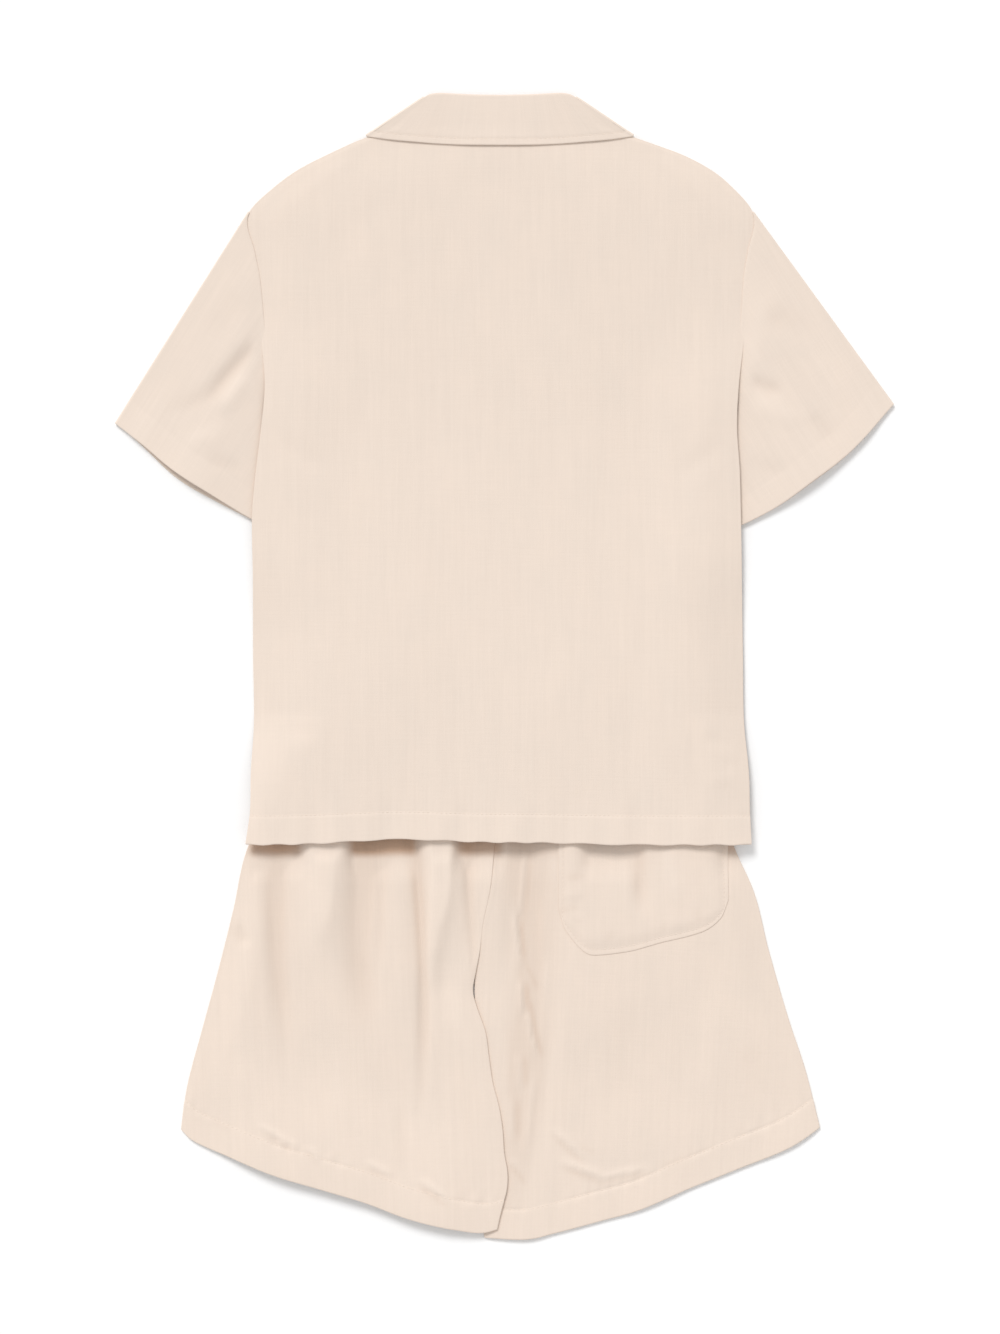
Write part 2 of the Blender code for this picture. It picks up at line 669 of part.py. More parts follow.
def pocket(rows=10, columns=14):
    """The patch pocket, moved out from the right back of the shorts."""
    grid = []
    for up in np.linspace(0.0, 1.0, rows + 1):
        row = []
        for share in np.linspace(0.0, 1.0, columns + 1):
            low_x, low_y = through(POCKET_EDGE, "x", share), through(POCKET_EDGE, "y", share)
            top_x = POCKET_LEFT + (POCKET_RIGHT - POCKET_LEFT) * share
            x = low_x + (top_x - low_x) * up
            y = low_y + (POCKET_TOP_Y - low_y) * up
            row.append((x, y, leg_back_z(x, y, RIGHT_LEG) + LAYER + POCKET_CLEAR))
        grid.append(row)
    return sheet("shorts_back_pocket", grid)


def main():
    """Build every piece in place."""
    clear_scene()
    shirt_back()
    shirt_front("shirt_front_left", -1)
    shirt_front("shirt_front_right", 1)
    lapel("shirt_lapel_left", -1)
    lapel("shirt_lapel_right", 1)
    sleeve("shirt_sleeve_left", -1, LEFT_CUFF, peek=LEFT_PEEK)
    sleeve("shirt_sleeve_right", 1, RIGHT_CUFF, peek=RIGHT_PEEK)
    collar()
    for index in range(BUTTON_COUNT):
        button(index)
    for word, leg in (("left", LEFT_LEG), ("right", RIGHT_LEG)):
        sheet(f"shorts_front_{word}", leg_grid(leg, leg_front_z))
        sheet(f"shorts_back_{word}", leg_grid(leg, leg_back_z))
    waistband()
    pocket()


main()
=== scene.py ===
"""A linen shirt and shorts set, laid flat with its back up, dressed for its photograph.

Every piece stands on the solid that it replaces, in the same metres: +Z up, +Y towards the collar,
and left is the wearer's left, at -X.
"""

import logging
import math
from dataclasses import dataclass, field
from enum import Enum
from typing import Callable, NamedTuple, Sequence

import bpy
import numpy as np
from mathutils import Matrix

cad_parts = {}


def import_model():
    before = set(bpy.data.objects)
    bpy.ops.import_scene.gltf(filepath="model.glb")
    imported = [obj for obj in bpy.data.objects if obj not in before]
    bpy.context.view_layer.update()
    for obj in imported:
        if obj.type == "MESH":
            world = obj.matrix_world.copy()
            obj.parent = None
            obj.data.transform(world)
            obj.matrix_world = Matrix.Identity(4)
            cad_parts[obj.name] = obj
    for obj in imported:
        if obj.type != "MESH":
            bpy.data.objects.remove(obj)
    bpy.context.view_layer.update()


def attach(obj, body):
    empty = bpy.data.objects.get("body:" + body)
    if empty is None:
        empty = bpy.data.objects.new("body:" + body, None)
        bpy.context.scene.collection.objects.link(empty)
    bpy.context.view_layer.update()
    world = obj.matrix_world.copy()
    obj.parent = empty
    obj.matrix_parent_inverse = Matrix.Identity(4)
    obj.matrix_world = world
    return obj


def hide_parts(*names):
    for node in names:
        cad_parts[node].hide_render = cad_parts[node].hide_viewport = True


log = logging.getLogger("linen_set")

# Cloth and seams
CLOTH = 0.0010
COLLAR_WALL = 0.0012
BAND_WALL = 0.0024
SEAM = 0.0003
LAYER = CLOTH + SEAM
THIN = 0.0008
THIN_COLLAR = 0.0009
CLOSED = LAYER - THIN

# The first grid line inside an edge, the sewn groove's half width, and the puckers' reach
RIM = 0.0009
HEM_SEAM = 0.0010
PUCKER_REACH = 0.0035

# Shirt
CENTRE_X = -0.0035
HEM_Y = -0.1345
UNDERARM_Y = 0.195
SLEEVE_RADIUS = 0.0008
SHOULDER_Y = 0.3454
NECK_Y = 0.4105
NECK_DIP = 0.0045
CROWN = 0.0014
CROWN_REACH = 0.032
PLACKET_REACH = 0.130
OVERLAP = 0.010
BUTTON_RADIUS = 0.0057
BUTTON_WALL = 0.0018
BUTTON_HOLE = 0.0009
TOP_BUTTON_Y = 0.310
BUTTON_PITCH = 0.085
BUTTON_COUNT = 5
BREAK_Y = 0.321
GORGE_Y = 0.397
GORGE_HALF = 0.0475
ROLL_RADIUS = 0.0013
SHIRT_LIFT = 0.0098
SLEEVE_LIFT = 0.0042
SIDE_SEAM = 0.007
NECK_START_Y = 0.395

# Where what lies under the shirt starts or stops lifting it, along, across or in from an edge
SHORTS_END = (-0.060, 0.200)
SHORTS_BESIDE = (-0.005, 0.070)
SLEEVE_START = (0.016, 0.090)
SLEEVE_END = (0.190, 0.275)
SLEEVE_INSIDE = (0.012, 0.085)
LAPEL_START = (0.300, 0.326)
LAPEL_BESIDE = (0.108, 0.125)
PLACKET_BESIDE = 0.012

# Shorts
BAND_TOP_Y = -0.010
BAND_SEAM_Y = -0.036
SEAT_END_Y = -0.2345
GATHER_LOFT = 0.0028
LEG_STEP = 0.0021
HEM_LIFT = 0.0062

# The loft of the shorts' back, its crepe and its highest reach, with the places where each fades
SEAM_LOFT = 0.0008
BELLY_LOFT = 0.0016
CREPE = 0.00055
CREPE_SIZE = 0.021
STEP_START = (-0.200, -0.238)
HEM_LIFT_START = (-0.238, -0.180)
GATHERS_END = (-0.350, -0.170)
GATHER_START_Y = -0.075
LEGS_PART = (SEAT_END_Y + 0.085, SEAT_END_Y - 0.020)
SHIRT_NEAR = (-0.165, -0.140)
BELLY_END = (-0.345, -0.240)
BELLY_START = (-0.130, -0.090)
CAP = 0.0106
CAP_DIP = 0.0017
CAP_EDGE = (-0.150, -0.139)
CAP_SOFT = 0.0004


class Outline(NamedTuple):
    """A height on the shirt's body, and where its two edges lie there."""

    y: float
    left: float
    right: float


class Spot(NamedTuple):
    """A share of the way along an edge, and the place there."""

    share: float
    x: float
    y: float


class Edge(NamedTuple):
    """A height on the shorts, and where one of their edges lies there."""

    y: float
    x: float


class Fold(NamedTuple):
    """A soft fold from its top to its end. A ridge rises, and a trough is negative."""

    x_top: float
    y_top: float
    x_end: float
    y_end: float
    rise: float
    width: float


class Wave(NamedTuple):
    """A place across the shirt where its hem runs higher, how wide it is and how much higher."""

    x: float
    width: float
    rise: float


class CollarRow(NamedTuple):
    """A place along half of the collar: its seam, roll line and leaf edge, and its turn to the front."""

    seam_x: float
    seam_y: float
    roll_x: float
    roll_y: float
    edge_x: float
    edge_y: float
    turn: float


BODY = (
    Outline(-0.1345, -0.1955, 0.1866),
    Outline(-0.1129, -0.1925, 0.1856),
    Outline(-0.0787, -0.1918, 0.1848),
    Outline(-0.0483, -0.1900, 0.1818),
    Outline(0.0100, -0.1905, 0.1806),
    Outline(0.0700, -0.1905, 0.1796),
    Outline(0.1200, -0.1908, 0.1788),
    Outline(0.1500, -0.1880, 0.1780),
    Outline(0.1800, -0.1843, 0.1760),
    Outline(0.2139, -0.1815, 0.1775),
    Outline(0.2450, -0.1840, 0.1812),
    Outline(0.2900, -0.1883, 0.1845),
    Outline(0.3165, -0.1911, 0.1862),
    Outline(0.3454, -0.1934, 0.1881),
    Outline(0.3621, -0.1767, 0.1744),
    Outline(0.3773, -0.1560, 0.1560),
    Outline(0.3900, -0.1310, 0.1310),
    Outline(0.4000, -0.1080, 0.1020),
    Outline(0.4105, -0.0780, 0.0730),
)

# Each sleeve's cuff edge, from the tip on the fold to the corner under the arm.
LEFT_CUFF = (
    Spot(0.00, -0.2945, 0.1843),
    Spot(0.18, -0.2757, 0.1697),
    Spot(0.40, -0.2524, 0.1501),
    Spot(0.66, -0.2228, 0.1310),
    Spot(0.90, -0.1930, 0.1130),
    Spot(1.00, -0.1838, 0.1085),
)
RIGHT_CUFF = (
    Spot(0.00, 0.2945, 0.1985),
    Spot(0.30, 0.2629, 0.1639),
    Spot(0.56, 0.2332, 0.1406),
    Spot(0.82, 0.1994, 0.1174),
    Spot(0.93, 0.1803, 0.1080),
    Spot(1.00, 0.1715, 0.1058),
)

# Edges of the legs from the waist down. Both share the seat seam.
SEAT_SEAM = (
    Edge(-0.0360, -0.0095),
    Edge(-0.1395, -0.0080),
    Edge(-0.1691, -0.0110),
    Edge(-0.1949, -0.0163),
    Edge(-0.2170, -0.0190),
    Edge(-0.2345, -0.0224),
)
LEFT_INNER = SEAT_SEAM + (
    Edge(-0.2451, -0.0242),
    Edge(-0.2608, -0.0203),
    Edge(-0.2756, -0.0150),
    Edge(-0.2977, -0.0117),
    Edge(-0.3161, -0.0090),
    Edge(-0.3345, -0.0042),
    Edge(-0.3529, -0.0014),
    Edge(-0.3695, -0.0003),
    Edge(-0.3843, 0.0022),
    Edge(-0.3972, 0.0016),
    Edge(-0.4064, -0.0008),
    Edge(-0.4193, -0.0041),
    Edge(-0.4268, -0.0057),
)
RIGHT_INNER = SEAT_SEAM + (
    Edge(-0.2451, -0.0225),
    Edge(-0.2702, -0.0222),
    Edge(-0.3295, -0.0205),
    Edge(-0.3800, -0.0180),
    Edge(-0.4334, -0.0150),
)
LEFT_SIDE = (
    Edge(-0.0360, -0.1320),
    Edge(-0.0800, -0.1640),
    Edge(-0.1400, -0.1955),
    Edge(-0.1850, -0.2056),
    Edge(-0.2345, -0.2180),
    Edge(-0.2750, -0.2290),
    Edge(-0.3250, -0.2418),
    Edge(-0.3515, -0.2451),
)
RIGHT_SIDE = (
    Edge(-0.0360, 0.1350),
    Edge(-0.0800, 0.1560),
    Edge(-0.1417, 0.1759),
    Edge(-0.1676, 0.1877),
    Edge(-0.2155, 0.2003),
    Edge(-0.2702, 0.2162),
    Edge(-0.3044, 0.2276),
    Edge(-0.3500, 0.2390),
)
LEFT_HEM = (
    Spot(0.00, -0.2451, -0.3515),
    Spot(0.06, -0.2371, -0.3591),
    Spot(0.16, -0.2086, -0.3716),
    Spot(0.30, -0.1744, -0.3853),
    Spot(0.44, -0.1402, -0.3956),
    Spot(0.58, -0.1060, -0.4058),
    Spot(0.73, -0.0718, -0.4184),
    Spot(0.87, -0.0376, -0.4264),
    Spot(0.96, -0.0148, -0.4290),
    Spot(1.00, -0.0057, -0.4268),
)
RIGHT_HEM = (
    Spot(0.00, 0.2390, -0.3500),
    Spot(0.09, 0.2208, -0.3625),
    Spot(0.27, 0.1752, -0.3819),
    Spot(0.40, 0.1410, -0.3956),
    Spot(0.56, 0.0999, -0.4131),
    Spot(0.68, 0.0726, -0.4207),
    Spot(0.81, 0.0384, -0.4298),
    Spot(0.91, 0.0156, -0.4346),
    Spot(1.00, -0.0150, -0.4334),
)

# The folds of the shorts' back that the solid has too.
WAIST_FOLDS = (
    Fold(-0.172, -0.09, -0.176, -0.30, -0.0030, 0.015),
    Fold(-0.132, -0.09, -0.142, -0.26, 0.0028, 0.013),
    Fold(-0.094, -0.08, -0.112, -0.29, -0.0036, 0.015),
    Fold(-0.068, -0.09, -0.064, -0.34, -0.0022, 0.009),
    Fold(-0.052, -0.08, -0.040, -0.30, 0.0032, 0.010),
    Fold(-0.027, -0.09, -0.026, -0.25, -0.0026, 0.009),
    Fold(0.010, -0.08, 0.024, -0.36, -0.0032, 0.011),
    Fold(0.038, -0.08, 0.046, -0.22, 0.0010, 0.012),
    Fold(0.078, -0.07, 0.082, -0.19, -0.0036, 0.014),
    Fold(0.132, -0.07, 0.146, -0.24, 0.0015, 0.017),
    Fold(0.104, -0.10, 0.114, -0.22, -0.0012, 0.010),
)

COLLAR = (
    CollarRow(0.0000, 0.4063, 0.0000, 0.4330, 0.0000, 0.3956, 0.0),
    CollarRow(0.0190, 0.4066, 0.0190, 0.4333, 0.0230, 0.3958, 0.0),
    CollarRow(0.0370, 0.4076, 0.0360, 0.4341, 0.0450, 0.3967, 0.0),
    CollarRow(0.0550, 0.4091, 0.0450, 0.4345, 0.0660, 0.3984, 0.0),
    CollarRow(0.0680, 0.4106, 0.0520, 0.4338, 0.0850, 0.4002, 0.0),
    *(CollarRow(0.0775, 0.4118, 0.0575, 0.4310, 0.1005, 0.4025, quarter / 4) for quarter in range(5)),
    CollarRow(0.0700, 0.4116, 0.0550, 0.4270, 0.1004, 0.3940, 1.0),
    CollarRow(0.0630, 0.4110, 0.0530, 0.4190, 0.0985, 0.3780, 1.0),
    CollarRow(0.0545, 0.4044, 0.0490, 0.4110, 0.0968, 0.3620, 1.0),
    CollarRow(0.0482, 0.3994, 0.0440, 0.4040, 0.0945, 0.3460, 1.0),
)
HEM_WAVES = (
    Wave(-0.078, 0.055, 0.0042),
    Wave(0.020, 0.050, 0.0016),
)
LAPEL_TIP = (0.0600, 0.3330)
LAPEL_NOTCH = (0.0690, 0.3700)

POCKET_LEFT = 0.0411
POCKET_RIGHT = 0.1695
POCKET_TOP_Y = -0.0860
POCKET_EDGE = (
    Spot(0.00, 0.0411, -0.1835),
    Spot(0.05, 0.0464, -0.1995),
    Spot(0.20, 0.0669, -0.2185),
    Spot(0.38, 0.0908, -0.2162),
    Spot(0.60, 0.1182, -0.2091),
    Spot(0.85, 0.1501, -0.2006),
    Spot(0.95, 0.1638, -0.1904),
    Spot(1.00, 0.1695, -0.1767),
)


def ease(low: float | np.ndarray, high: float | np.ndarray, value: np.ndarray) -> np.ndarray:
    """Rise smoothly from 0 where the value is low to 1 where it is high."""
    share = np.clip((value - low) / (high - low), 0.0, 1.0)
    return share * share * (3 - 2 * share)


def bell(value: np.ndarray, width: float) -> np.ndarray:
    """Fall away from 1 at 0 within about two widths."""
    return np.exp(-((value / width) ** 2))


def ripple(x: np.ndarray, y: np.ndarray, size: float, seed: float) -> np.ndarray:
    """Make soft unrest, as cloth has where nothing presses it.

    Args:
        x: Places across.
        y: Places along.
        size: About how wide one rise is.
        seed: Shifts the pattern, so that two panels differ.

    Returns:
        A height between about -1 and 1 at each place.
    """
    total = np.zeros(np.broadcast(x, y).shape)
    for k in range(5):
        turn = 2.399 * k + seed
        pitch = size * (1.0 + 0.37 * k)
        along = x * math.cos(turn) + y * math.sin(turn)
        across = y * math.cos(turn) - x * math.sin(turn)
        bend = 0.8 * np.sin(across / pitch * 1.7 + 1.3 * seed + k)
        total += np.sin(along / pitch * 2.0 + bend + 1.9 * k + seed)
    return total / 3.0


class Curve:
    """A smooth curve through one column of a table, read at values of its first column."""

    def __init__(self, knots: Sequence[float], values: Sequence[float], flat: bool = False) -> None:
        """Work out the slopes at the knots.

        Args:
            knots: The first column.
            values: The column to read.
            flat: Whether the curve never leaves the span between two neighbouring knots.
        """
        self.knots = np.array(knots, float)
        self.values = np.array(values, float)
        if self.knots[0] > self.knots[-1]:
            self.knots, self.values = self.knots[::-1], self.values[::-1]
        self.slopes = np.gradient(self.values, self.knots)
        if flat:
            rises = np.diff(self.values) / np.diff(self.knots)
            inner = rises[:-1] * rises[1:]
            mean = np.where(inner > 0, 2 * inner / np.where(inner > 0, rises[:-1] + rises[1:], 1.0), 0.0)
            self.slopes = np.concatenate((rises[:1], mean, rises[-1:]))

    def __call__(self, at: float | np.ndarray) -> np.ndarray:
        """Read the curve.

        Args:
            at: Values of the first column.

        Returns:
            The curve's value at each.
        """
        at = np.asarray(at, float)
        low = np.clip(np.searchsorted(self.knots, at) - 1, 0, len(self.knots) - 2)
        step = self.knots[low + 1] - self.knots[low]
        t = np.clip((at - self.knots[low]) / step, 0.0, 1.0)
        return (
            (2 * t**3 - 3 * t**2 + 1) * self.values[low]
            + (t**3 - 2 * t**2 + t) * step * self.slopes[low]
            + (3 * t**2 - 2 * t**3) * self.values[low + 1]
            + (t**3 - t**2) * step * self.slopes[low + 1]
        )


def curve(table: Sequence[tuple], column: str, flat: bool = False) -> Curve:
    """Lay a curve through one column of a table."""
    return Curve([row[0] for row in table], [getattr(row, column) for row in table], flat)


BODY_LEFT, BODY_RIGHT = curve(BODY, "left"), curve(BODY, "right")
SIDE_LEFT, SIDE_RIGHT = curve(LEFT_SIDE, "x"), curve(RIGHT_SIDE, "x")
INNER_LEFT, INNER_RIGHT = curve(LEFT_INNER, "x"), curve(RIGHT_INNER, "x")


def hem_of_leg(hem: Sequence[Spot], x: np.ndarray) -> np.ndarray:
    """Tell how far down a leg's hem lies at places across it."""
    rows = sorted(hem, key=lambda spot: spot.x)
    return np.interp(x, [spot.x for spot in rows], [spot.y for spot in rows])


def hem_y(x: np.ndarray) -> np.ndarray:
    """Follow the shirt's hem, which waves a little across the shorts."""
    return HEM_Y + sum(wave.rise * bell(x - wave.x, wave.width) for wave in HEM_WAVES)


def to_side(x: np.ndarray, y: np.ndarray) -> np.ndarray:
    """Tell how far a place on the shirt's body lies in from the nearer edge."""
    return np.minimum(x - BODY_LEFT(y), BODY_RIGHT(y) - x)


def over_shorts(x: np.ndarray, y: np.ndarray) -> np.ndarray:
    """Tell how much of the shorts' height lifts the shirt.

    Args:
        x: Places across.
        y: Places along.

    Returns:
        1 over the shorts and 0 beside them, at each place.
    """
    side_y = np.minimum(y, BAND_SEAM_Y)
    beside = np.maximum(SIDE_LEFT(side_y) - x, x - SIDE_RIGHT(side_y))
    return (1 - ease(*SHORTS_END, y)) * (1 - ease(*SHORTS_BESIDE, beside))


def over_sleeve(x: np.ndarray, y: np.ndarray) -> np.ndarray:
    """Tell how much a sleeve that is tucked under the body's side lifts it."""
    along = ease(*SLEEVE_START, y) * (1 - ease(*SLEEVE_END, y))
    return along * (1 - ease(*SLEEVE_INSIDE, to_side(x, y)))


def over_lapels(x: np.ndarray, y: np.ndarray) -> np.ndarray:
    """Tell how much the lapels and the collar's front lift the shirt's front."""
    return ease(*LAPEL_START, y) * (1 - ease(*LAPEL_BESIDE, np.abs(x - CENTRE_X)))


def beside_placket(x: np.ndarray) -> np.ndarray:
    """Give 1 where the fronts overlap, and 0 well beside that strip."""
    return bell(np.maximum(0.0, np.abs(x - CENTRE_X) - 2 * OVERLAP), PLACKET_BESIDE)


def front_z(x: np.ndarray, y: np.ndarray, outer: bool = True) -> np.ndarray:
    """Give the middle of a front, of which the outer one lies lowest, on the buttons.

    Args:
        x: Places across.
        y: Places along.
        outer: Whether this is the front that laps over the other.

    Returns:
        The height at each place.
    """
    shorts = over_shorts(x, y)
    buttons = beside_placket(x) * (BUTTON_WALL + SEAM) * (1 - shorts)
    lapels = over_lapels(x, y) * (COLLAR_WALL + SEAM)
    lift = np.maximum(buttons, lapels) + SHIRT_LIFT * shorts + SLEEVE_LIFT * over_sleeve(x, y)
    return CLOTH / 2 + lift + (0.0 if outer else LAYER * beside_placket(x))


def back_z(x: np.ndarray, y: np.ndarray) -> np.ndarray:
    """Give the middle of the shirt's back: on the front at its edges, and clear of the placket.

    Args:
        x: Places across.
        y: Places along.

    Returns:
        The height at each place.
    """
    y = np.minimum(y, NECK_Y)
    shorts = over_shorts(x, y)
    reach = CROWN_REACH * (1 - 0.5 * ease(NECK_START_Y, NECK_Y, y))
    inside = ease(0.0, reach, to_side(x, y))
    placket = (BUTTON_WALL + SEAM) * (1 - shorts) * ease(0.0, PLACKET_REACH, to_side(x, y))
    rise = CROWN * inside + placket + over_lapels(x, y) * (COLLAR_WALL + SEAM) * (1 - inside)
    rise = rise - CLOSED * (1 - ease(0.0, SIDE_SEAM, to_side(x, y)))
    return CLOTH / 2 + LAYER + rise + SHIRT_LIFT * shorts + SLEEVE_LIFT * over_sleeve(x, y)


def from_fold(fold: Fold, x: np.ndarray, y: np.ndarray) -> tuple[np.ndarray, np.ndarray, float]:
    """Measure places from the top of a fold.

    Args:
        fold: The fold.
        x: Places across.
        y: Places along.

    Returns:
        How far along the fold and how far beside it each place lies, and the fold's length.
    """
    run_x, run_y = fold.x_end - fold.x_top, fold.y_end - fold.y_top
    length = math.hypot(run_x, run_y)
    along = ((x - fold.x_top) * run_x + (y - fold.y_top) * run_y) / length
    across = ((x - fold.x_top) * run_y - (y - fold.y_top) * run_x) / length
    return along, across, length


def fold_height(folds: Sequence[Fold], x: np.ndarray, y: np.ndarray) -> np.ndarray:
    """Add up the folds of a table.

    Args:
        folds: The folds.
        x: Places across.
        y: Places along.

    Returns:
        The height at each place.
    """
    height = np.zeros(np.broadcast(x, y).shape)
    for fold in folds:
        along, across, length = from_fold(fold, x, y)
        strength = (1 - ease(0.25 * length, length, along)) * ease(-0.055, 0.0, along)
        height += fold.rise * strength * bell(across, fold.width)
    return height


def crease_height(creases: Sequence[Fold], x: np.ndarray, y: np.ndarray) -> np.ndarray:
    """Add up short creases, each of which fades out at both of its ends.

    Args:
        creases: The creases.
        x: Places across.
        y: Places along.

    Returns:
        The height at each place.
    """
    height = np.zeros(np.broadcast(x, y).shape)
    for crease in creases:
        along, across, length = from_fold(crease, x, y)
        share = along / length
        across = across + 0.10 * length * np.sin(share * 3.0 + crease.x_top * 90) * crease.width / 0.02
        strength = ease(-0.15, 0.30, share) * (1 - ease(0.65, 1.15, share))
        height += crease.rise * strength * bell(across, crease.width)
    return height


def spread(length: float, pitch: float, fine: Sequence[float] = (), close: float = RIM) -> np.ndarray:
    """Place grid lines along a length, closer together where a seam or a hem needs them.

    Args:
        length: The whole length.
        pitch: The usual distance between two lines.
        fine: Places that need close lines round them.
        close: The distance between close lines.

    Returns:
        The places, from 0 to length.
    """
    places = list(np.linspace(0.0, length, max(2, round(length / pitch) + 1)))
    for spot in fine:
        places = [place for place in places if abs(place - spot) > 3.5 * close or place in (0.0, length)]
        places += [spot + step * close for step in range(-3, 4) if 0.0 < spot + step * close < length]
    return np.unique(np.round(places, 7))


def unit(vectors: np.ndarray) -> np.ndarray:
    """Scale vectors to length 1."""
    return vectors / np.maximum(np.linalg.norm(vectors, axis=-1, keepdims=True), 1e-12)


def join(*parts: float | np.ndarray) -> np.ndarray:
    """Join coordinates into points, each repeated where it needs to be."""
    return np.stack(np.broadcast_arrays(*parts), -1)


def lengths(line: np.ndarray) -> np.ndarray:
    """Add up the length along a line of points, from 0 at its start."""
    return np.concatenate(([0.0], np.cumsum(np.linalg.norm(np.diff(line, axis=0), axis=1))))


def trace(table: Sequence[Spot], share: np.ndarray, flat: bool = False) -> np.ndarray:
    """Find the places at shares of the way along the edge in a table of spots."""
    return np.stack((curve(table, "x", flat)(share), curve(table, "y", flat)(share)), -1)


@dataclass
class Sheet:
    """A cloth wall on a grid of points that lie in its middle, rows up the cloth and columns across."""

    name: str
    points: np.ndarray
    cloth: np.ndarray
    wall: float = THIN
    ring: bool = False
    double: float | np.ndarray = 0.0
    relief: float | np.ndarray = 0.0
    # How deep in a crease or hollow each point lies, which the finish paints as shade, and as a little light
    # where it is negative.
    crease: float | np.ndarray = 0.0
    round_steps: int = 4
    top: np.ndarray = field(init=False)
    normal: np.ndarray = field(init=False)

    def __post_init__(self) -> None:
        """Work out the wall's two faces."""
        for word in ("double", "relief", "crease"):
            setattr(self, word, np.zeros(self.points.shape[:2]) + getattr(self, word))
        if self.ring:
            across = np.roll(self.points, -1, axis=1) - np.roll(self.points, 1, axis=1)
        else:
            across = np.gradient(self.points, axis=1)
        self.normal = unit(np.cross(across, np.gradient(self.points, axis=0)))
        self.top = self.points + self.normal * (self.wall / 2 + self.relief)[..., None]

    def loops(self) -> list[np.ndarray]:
        """List the grid's open edges.

        Returns:
            The points' numbers along each edge, each the same way round.
        """
        rows, columns = self.points.shape[:2]
        index = np.arange(rows * columns).reshape(rows, columns)
        if self.ring:
            return [index[0], index[-1][::-1]]
        return [np.concatenate((index[0], index[1:, -1], index[-1, -2::-1], index[-2:0:-1, 0]))]

    def build(self, material: bpy.types.Material) -> bpy.types.Object:
        """Make the closed mesh, with every open edge rounded over.

        Args:
            material: The cloth's finish.

        Returns:
            The new object.
        """
        rows, columns = self.points.shape[:2]
        low = self.points - self.normal * self.wall / 2
        verts = [self.top.reshape(-1, 3), low.reshape(-1, 3)]
        cloth = [self.cloth.reshape(-1, 2)] * 2
        marks = [np.stack((self.double, self.crease), -1).reshape(-1, 2)] * 2
        index = np.arange(rows * columns).reshape(rows, columns)
        if self.ring:
            index = np.concatenate((index, index[:, :1]), axis=1)
        a, b, c, d = index[:-1, :-1], index[:-1, 1:], index[1:, 1:], index[1:, :-1]
        total = rows * columns
        faces = [np.stack((a, b, c, d), -1).reshape(-1, 4)]
        faces.append(np.stack((a, d, c, b), -1).reshape(-1, 4) + total)
        count = 2 * total
        for loop in self.loops():
            high, deep = verts[0][loop], verts[1][loop]
            middle, half = (high + deep) / 2, np.linalg.norm(high - deep, axis=1)[:, None] / 2
            up = unit(high - deep)
            outward = unit(np.cross(np.roll(middle, -1, axis=0) - np.roll(middle, 1, axis=0), up))
            before = loop
            for k in range(1, self.round_steps + 1):
                if k < self.round_steps:
                    angle = math.pi * k / self.round_steps
                    verts.append(middle + half * (outward * math.sin(angle) + up * math.cos(angle)))
                    cloth.append(cloth[0][loop])
                    marks.append(marks[0][loop])
                    after = np.arange(count, count + len(loop))
                    count += len(loop)
                else:
                    after = loop + total
                ahead, behind = np.roll(before, -1), np.roll(after, -1)
                faces.append(np.stack((before, after, behind, ahead), -1))
                before = after
        return make_mesh(
            self.name,
            np.concatenate(verts),
            np.concatenate(faces),
            material,
            np.concatenate(cloth),
            np.concatenate(marks),
        )

    def line(self, row: float | None = None, column: float | None = None) -> tuple[np.ndarray, np.ndarray]:
        """Read a line of the grid on the upper face, between two grid lines if need be.

        Args:
            row: The row to follow, or None.
            column: The column to follow, where row is None.

        Returns:
            The line's points, and the cloth's normals there.
        """
        axis, at = (0, row) if row is not None else (1, column)
        low = int(np.clip(math.floor(at), 0, self.points.shape[axis] - 2))
        share = at - low
        picked = [np.take(source, [low, low + 1], axis=axis) for source in (self.top, self.normal)]
        if axis == 1:
            picked = [source.swapaxes(0, 1) for source in picked]
        return tuple(source[0] * (1 - share) + source[1] * share for source in picked)


def make_mesh(
    name: str,
    verts: np.ndarray,
    faces: np.ndarray,
    material: bpy.types.Material,
    cloth: np.ndarray | None = None,
    marks: np.ndarray | None = None,
) -> bpy.types.Object:
    """Make a smooth mesh object from arrays.

    Args:
        name: The object's name.
        verts: Its points.
        faces: Its faces, all with the same number of corners.
        material: Its finish.
        cloth: Each point's place on the flat cut, in metres.
        marks: For each point 1 where the cloth is doubled over, and 1 where it lies deep in a crease;
        the finish paints shade where the crease mark is high, and a little light where it is negative.

    Returns:
        The new object, which rides on the root.
    """
    mesh = bpy.data.meshes.new(name)
    corners = faces.shape[1]
    mesh.vertices.add(len(verts))
    mesh.vertices.foreach_set("co", verts.astype(np.float32).ravel())
    mesh.loops.add(faces.size)
    mesh.loops.foreach_set("vertex_index", faces.astype(np.int32).ravel())
    mesh.polygons.add(len(faces))
    mesh.polygons.foreach_set("loop_start", np.arange(0, faces.size, corners, dtype=np.int32))
    mesh.update(calc_edges=True)
    mesh.shade_smooth()
    if cloth is not None:
        layer = mesh.uv_layers.new(name="cloth")
        layer.data.foreach_set("uv", cloth[faces.ravel()].astype(np.float32).ravel())
    if marks is not None:
        # The crease attribute carries painted shade for the finish.
        for word, values in zip(("double", "crease"), marks.T):
            mark = mesh.attributes.new(word, "FLOAT", "POINT")
            mark.data.foreach_set("value", np.ascontiguousarray(values, dtype=np.float32))
    mesh.materials.append(material)
    piece = bpy.data.objects.new(name, mesh)
    bpy.context.scene.collection.objects.link(piece)
    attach(piece, "root")
    return piece


class Station(NamedTuple):
    """A ring of a stitch: its place along, its thickness and its rise, as shares of the stitch's sizes."""

    share: float
    thick: float
    rise: float


STITCH = (
    Station(-0.50, 0.25, -1.2),
    Station(-0.36, 0.85, -0.1),
    Station(0.0, 1.0, 0.25),
    Station(0.36, 0.85, -0.1),
    Station(0.50, 0.25, -1.2),
)


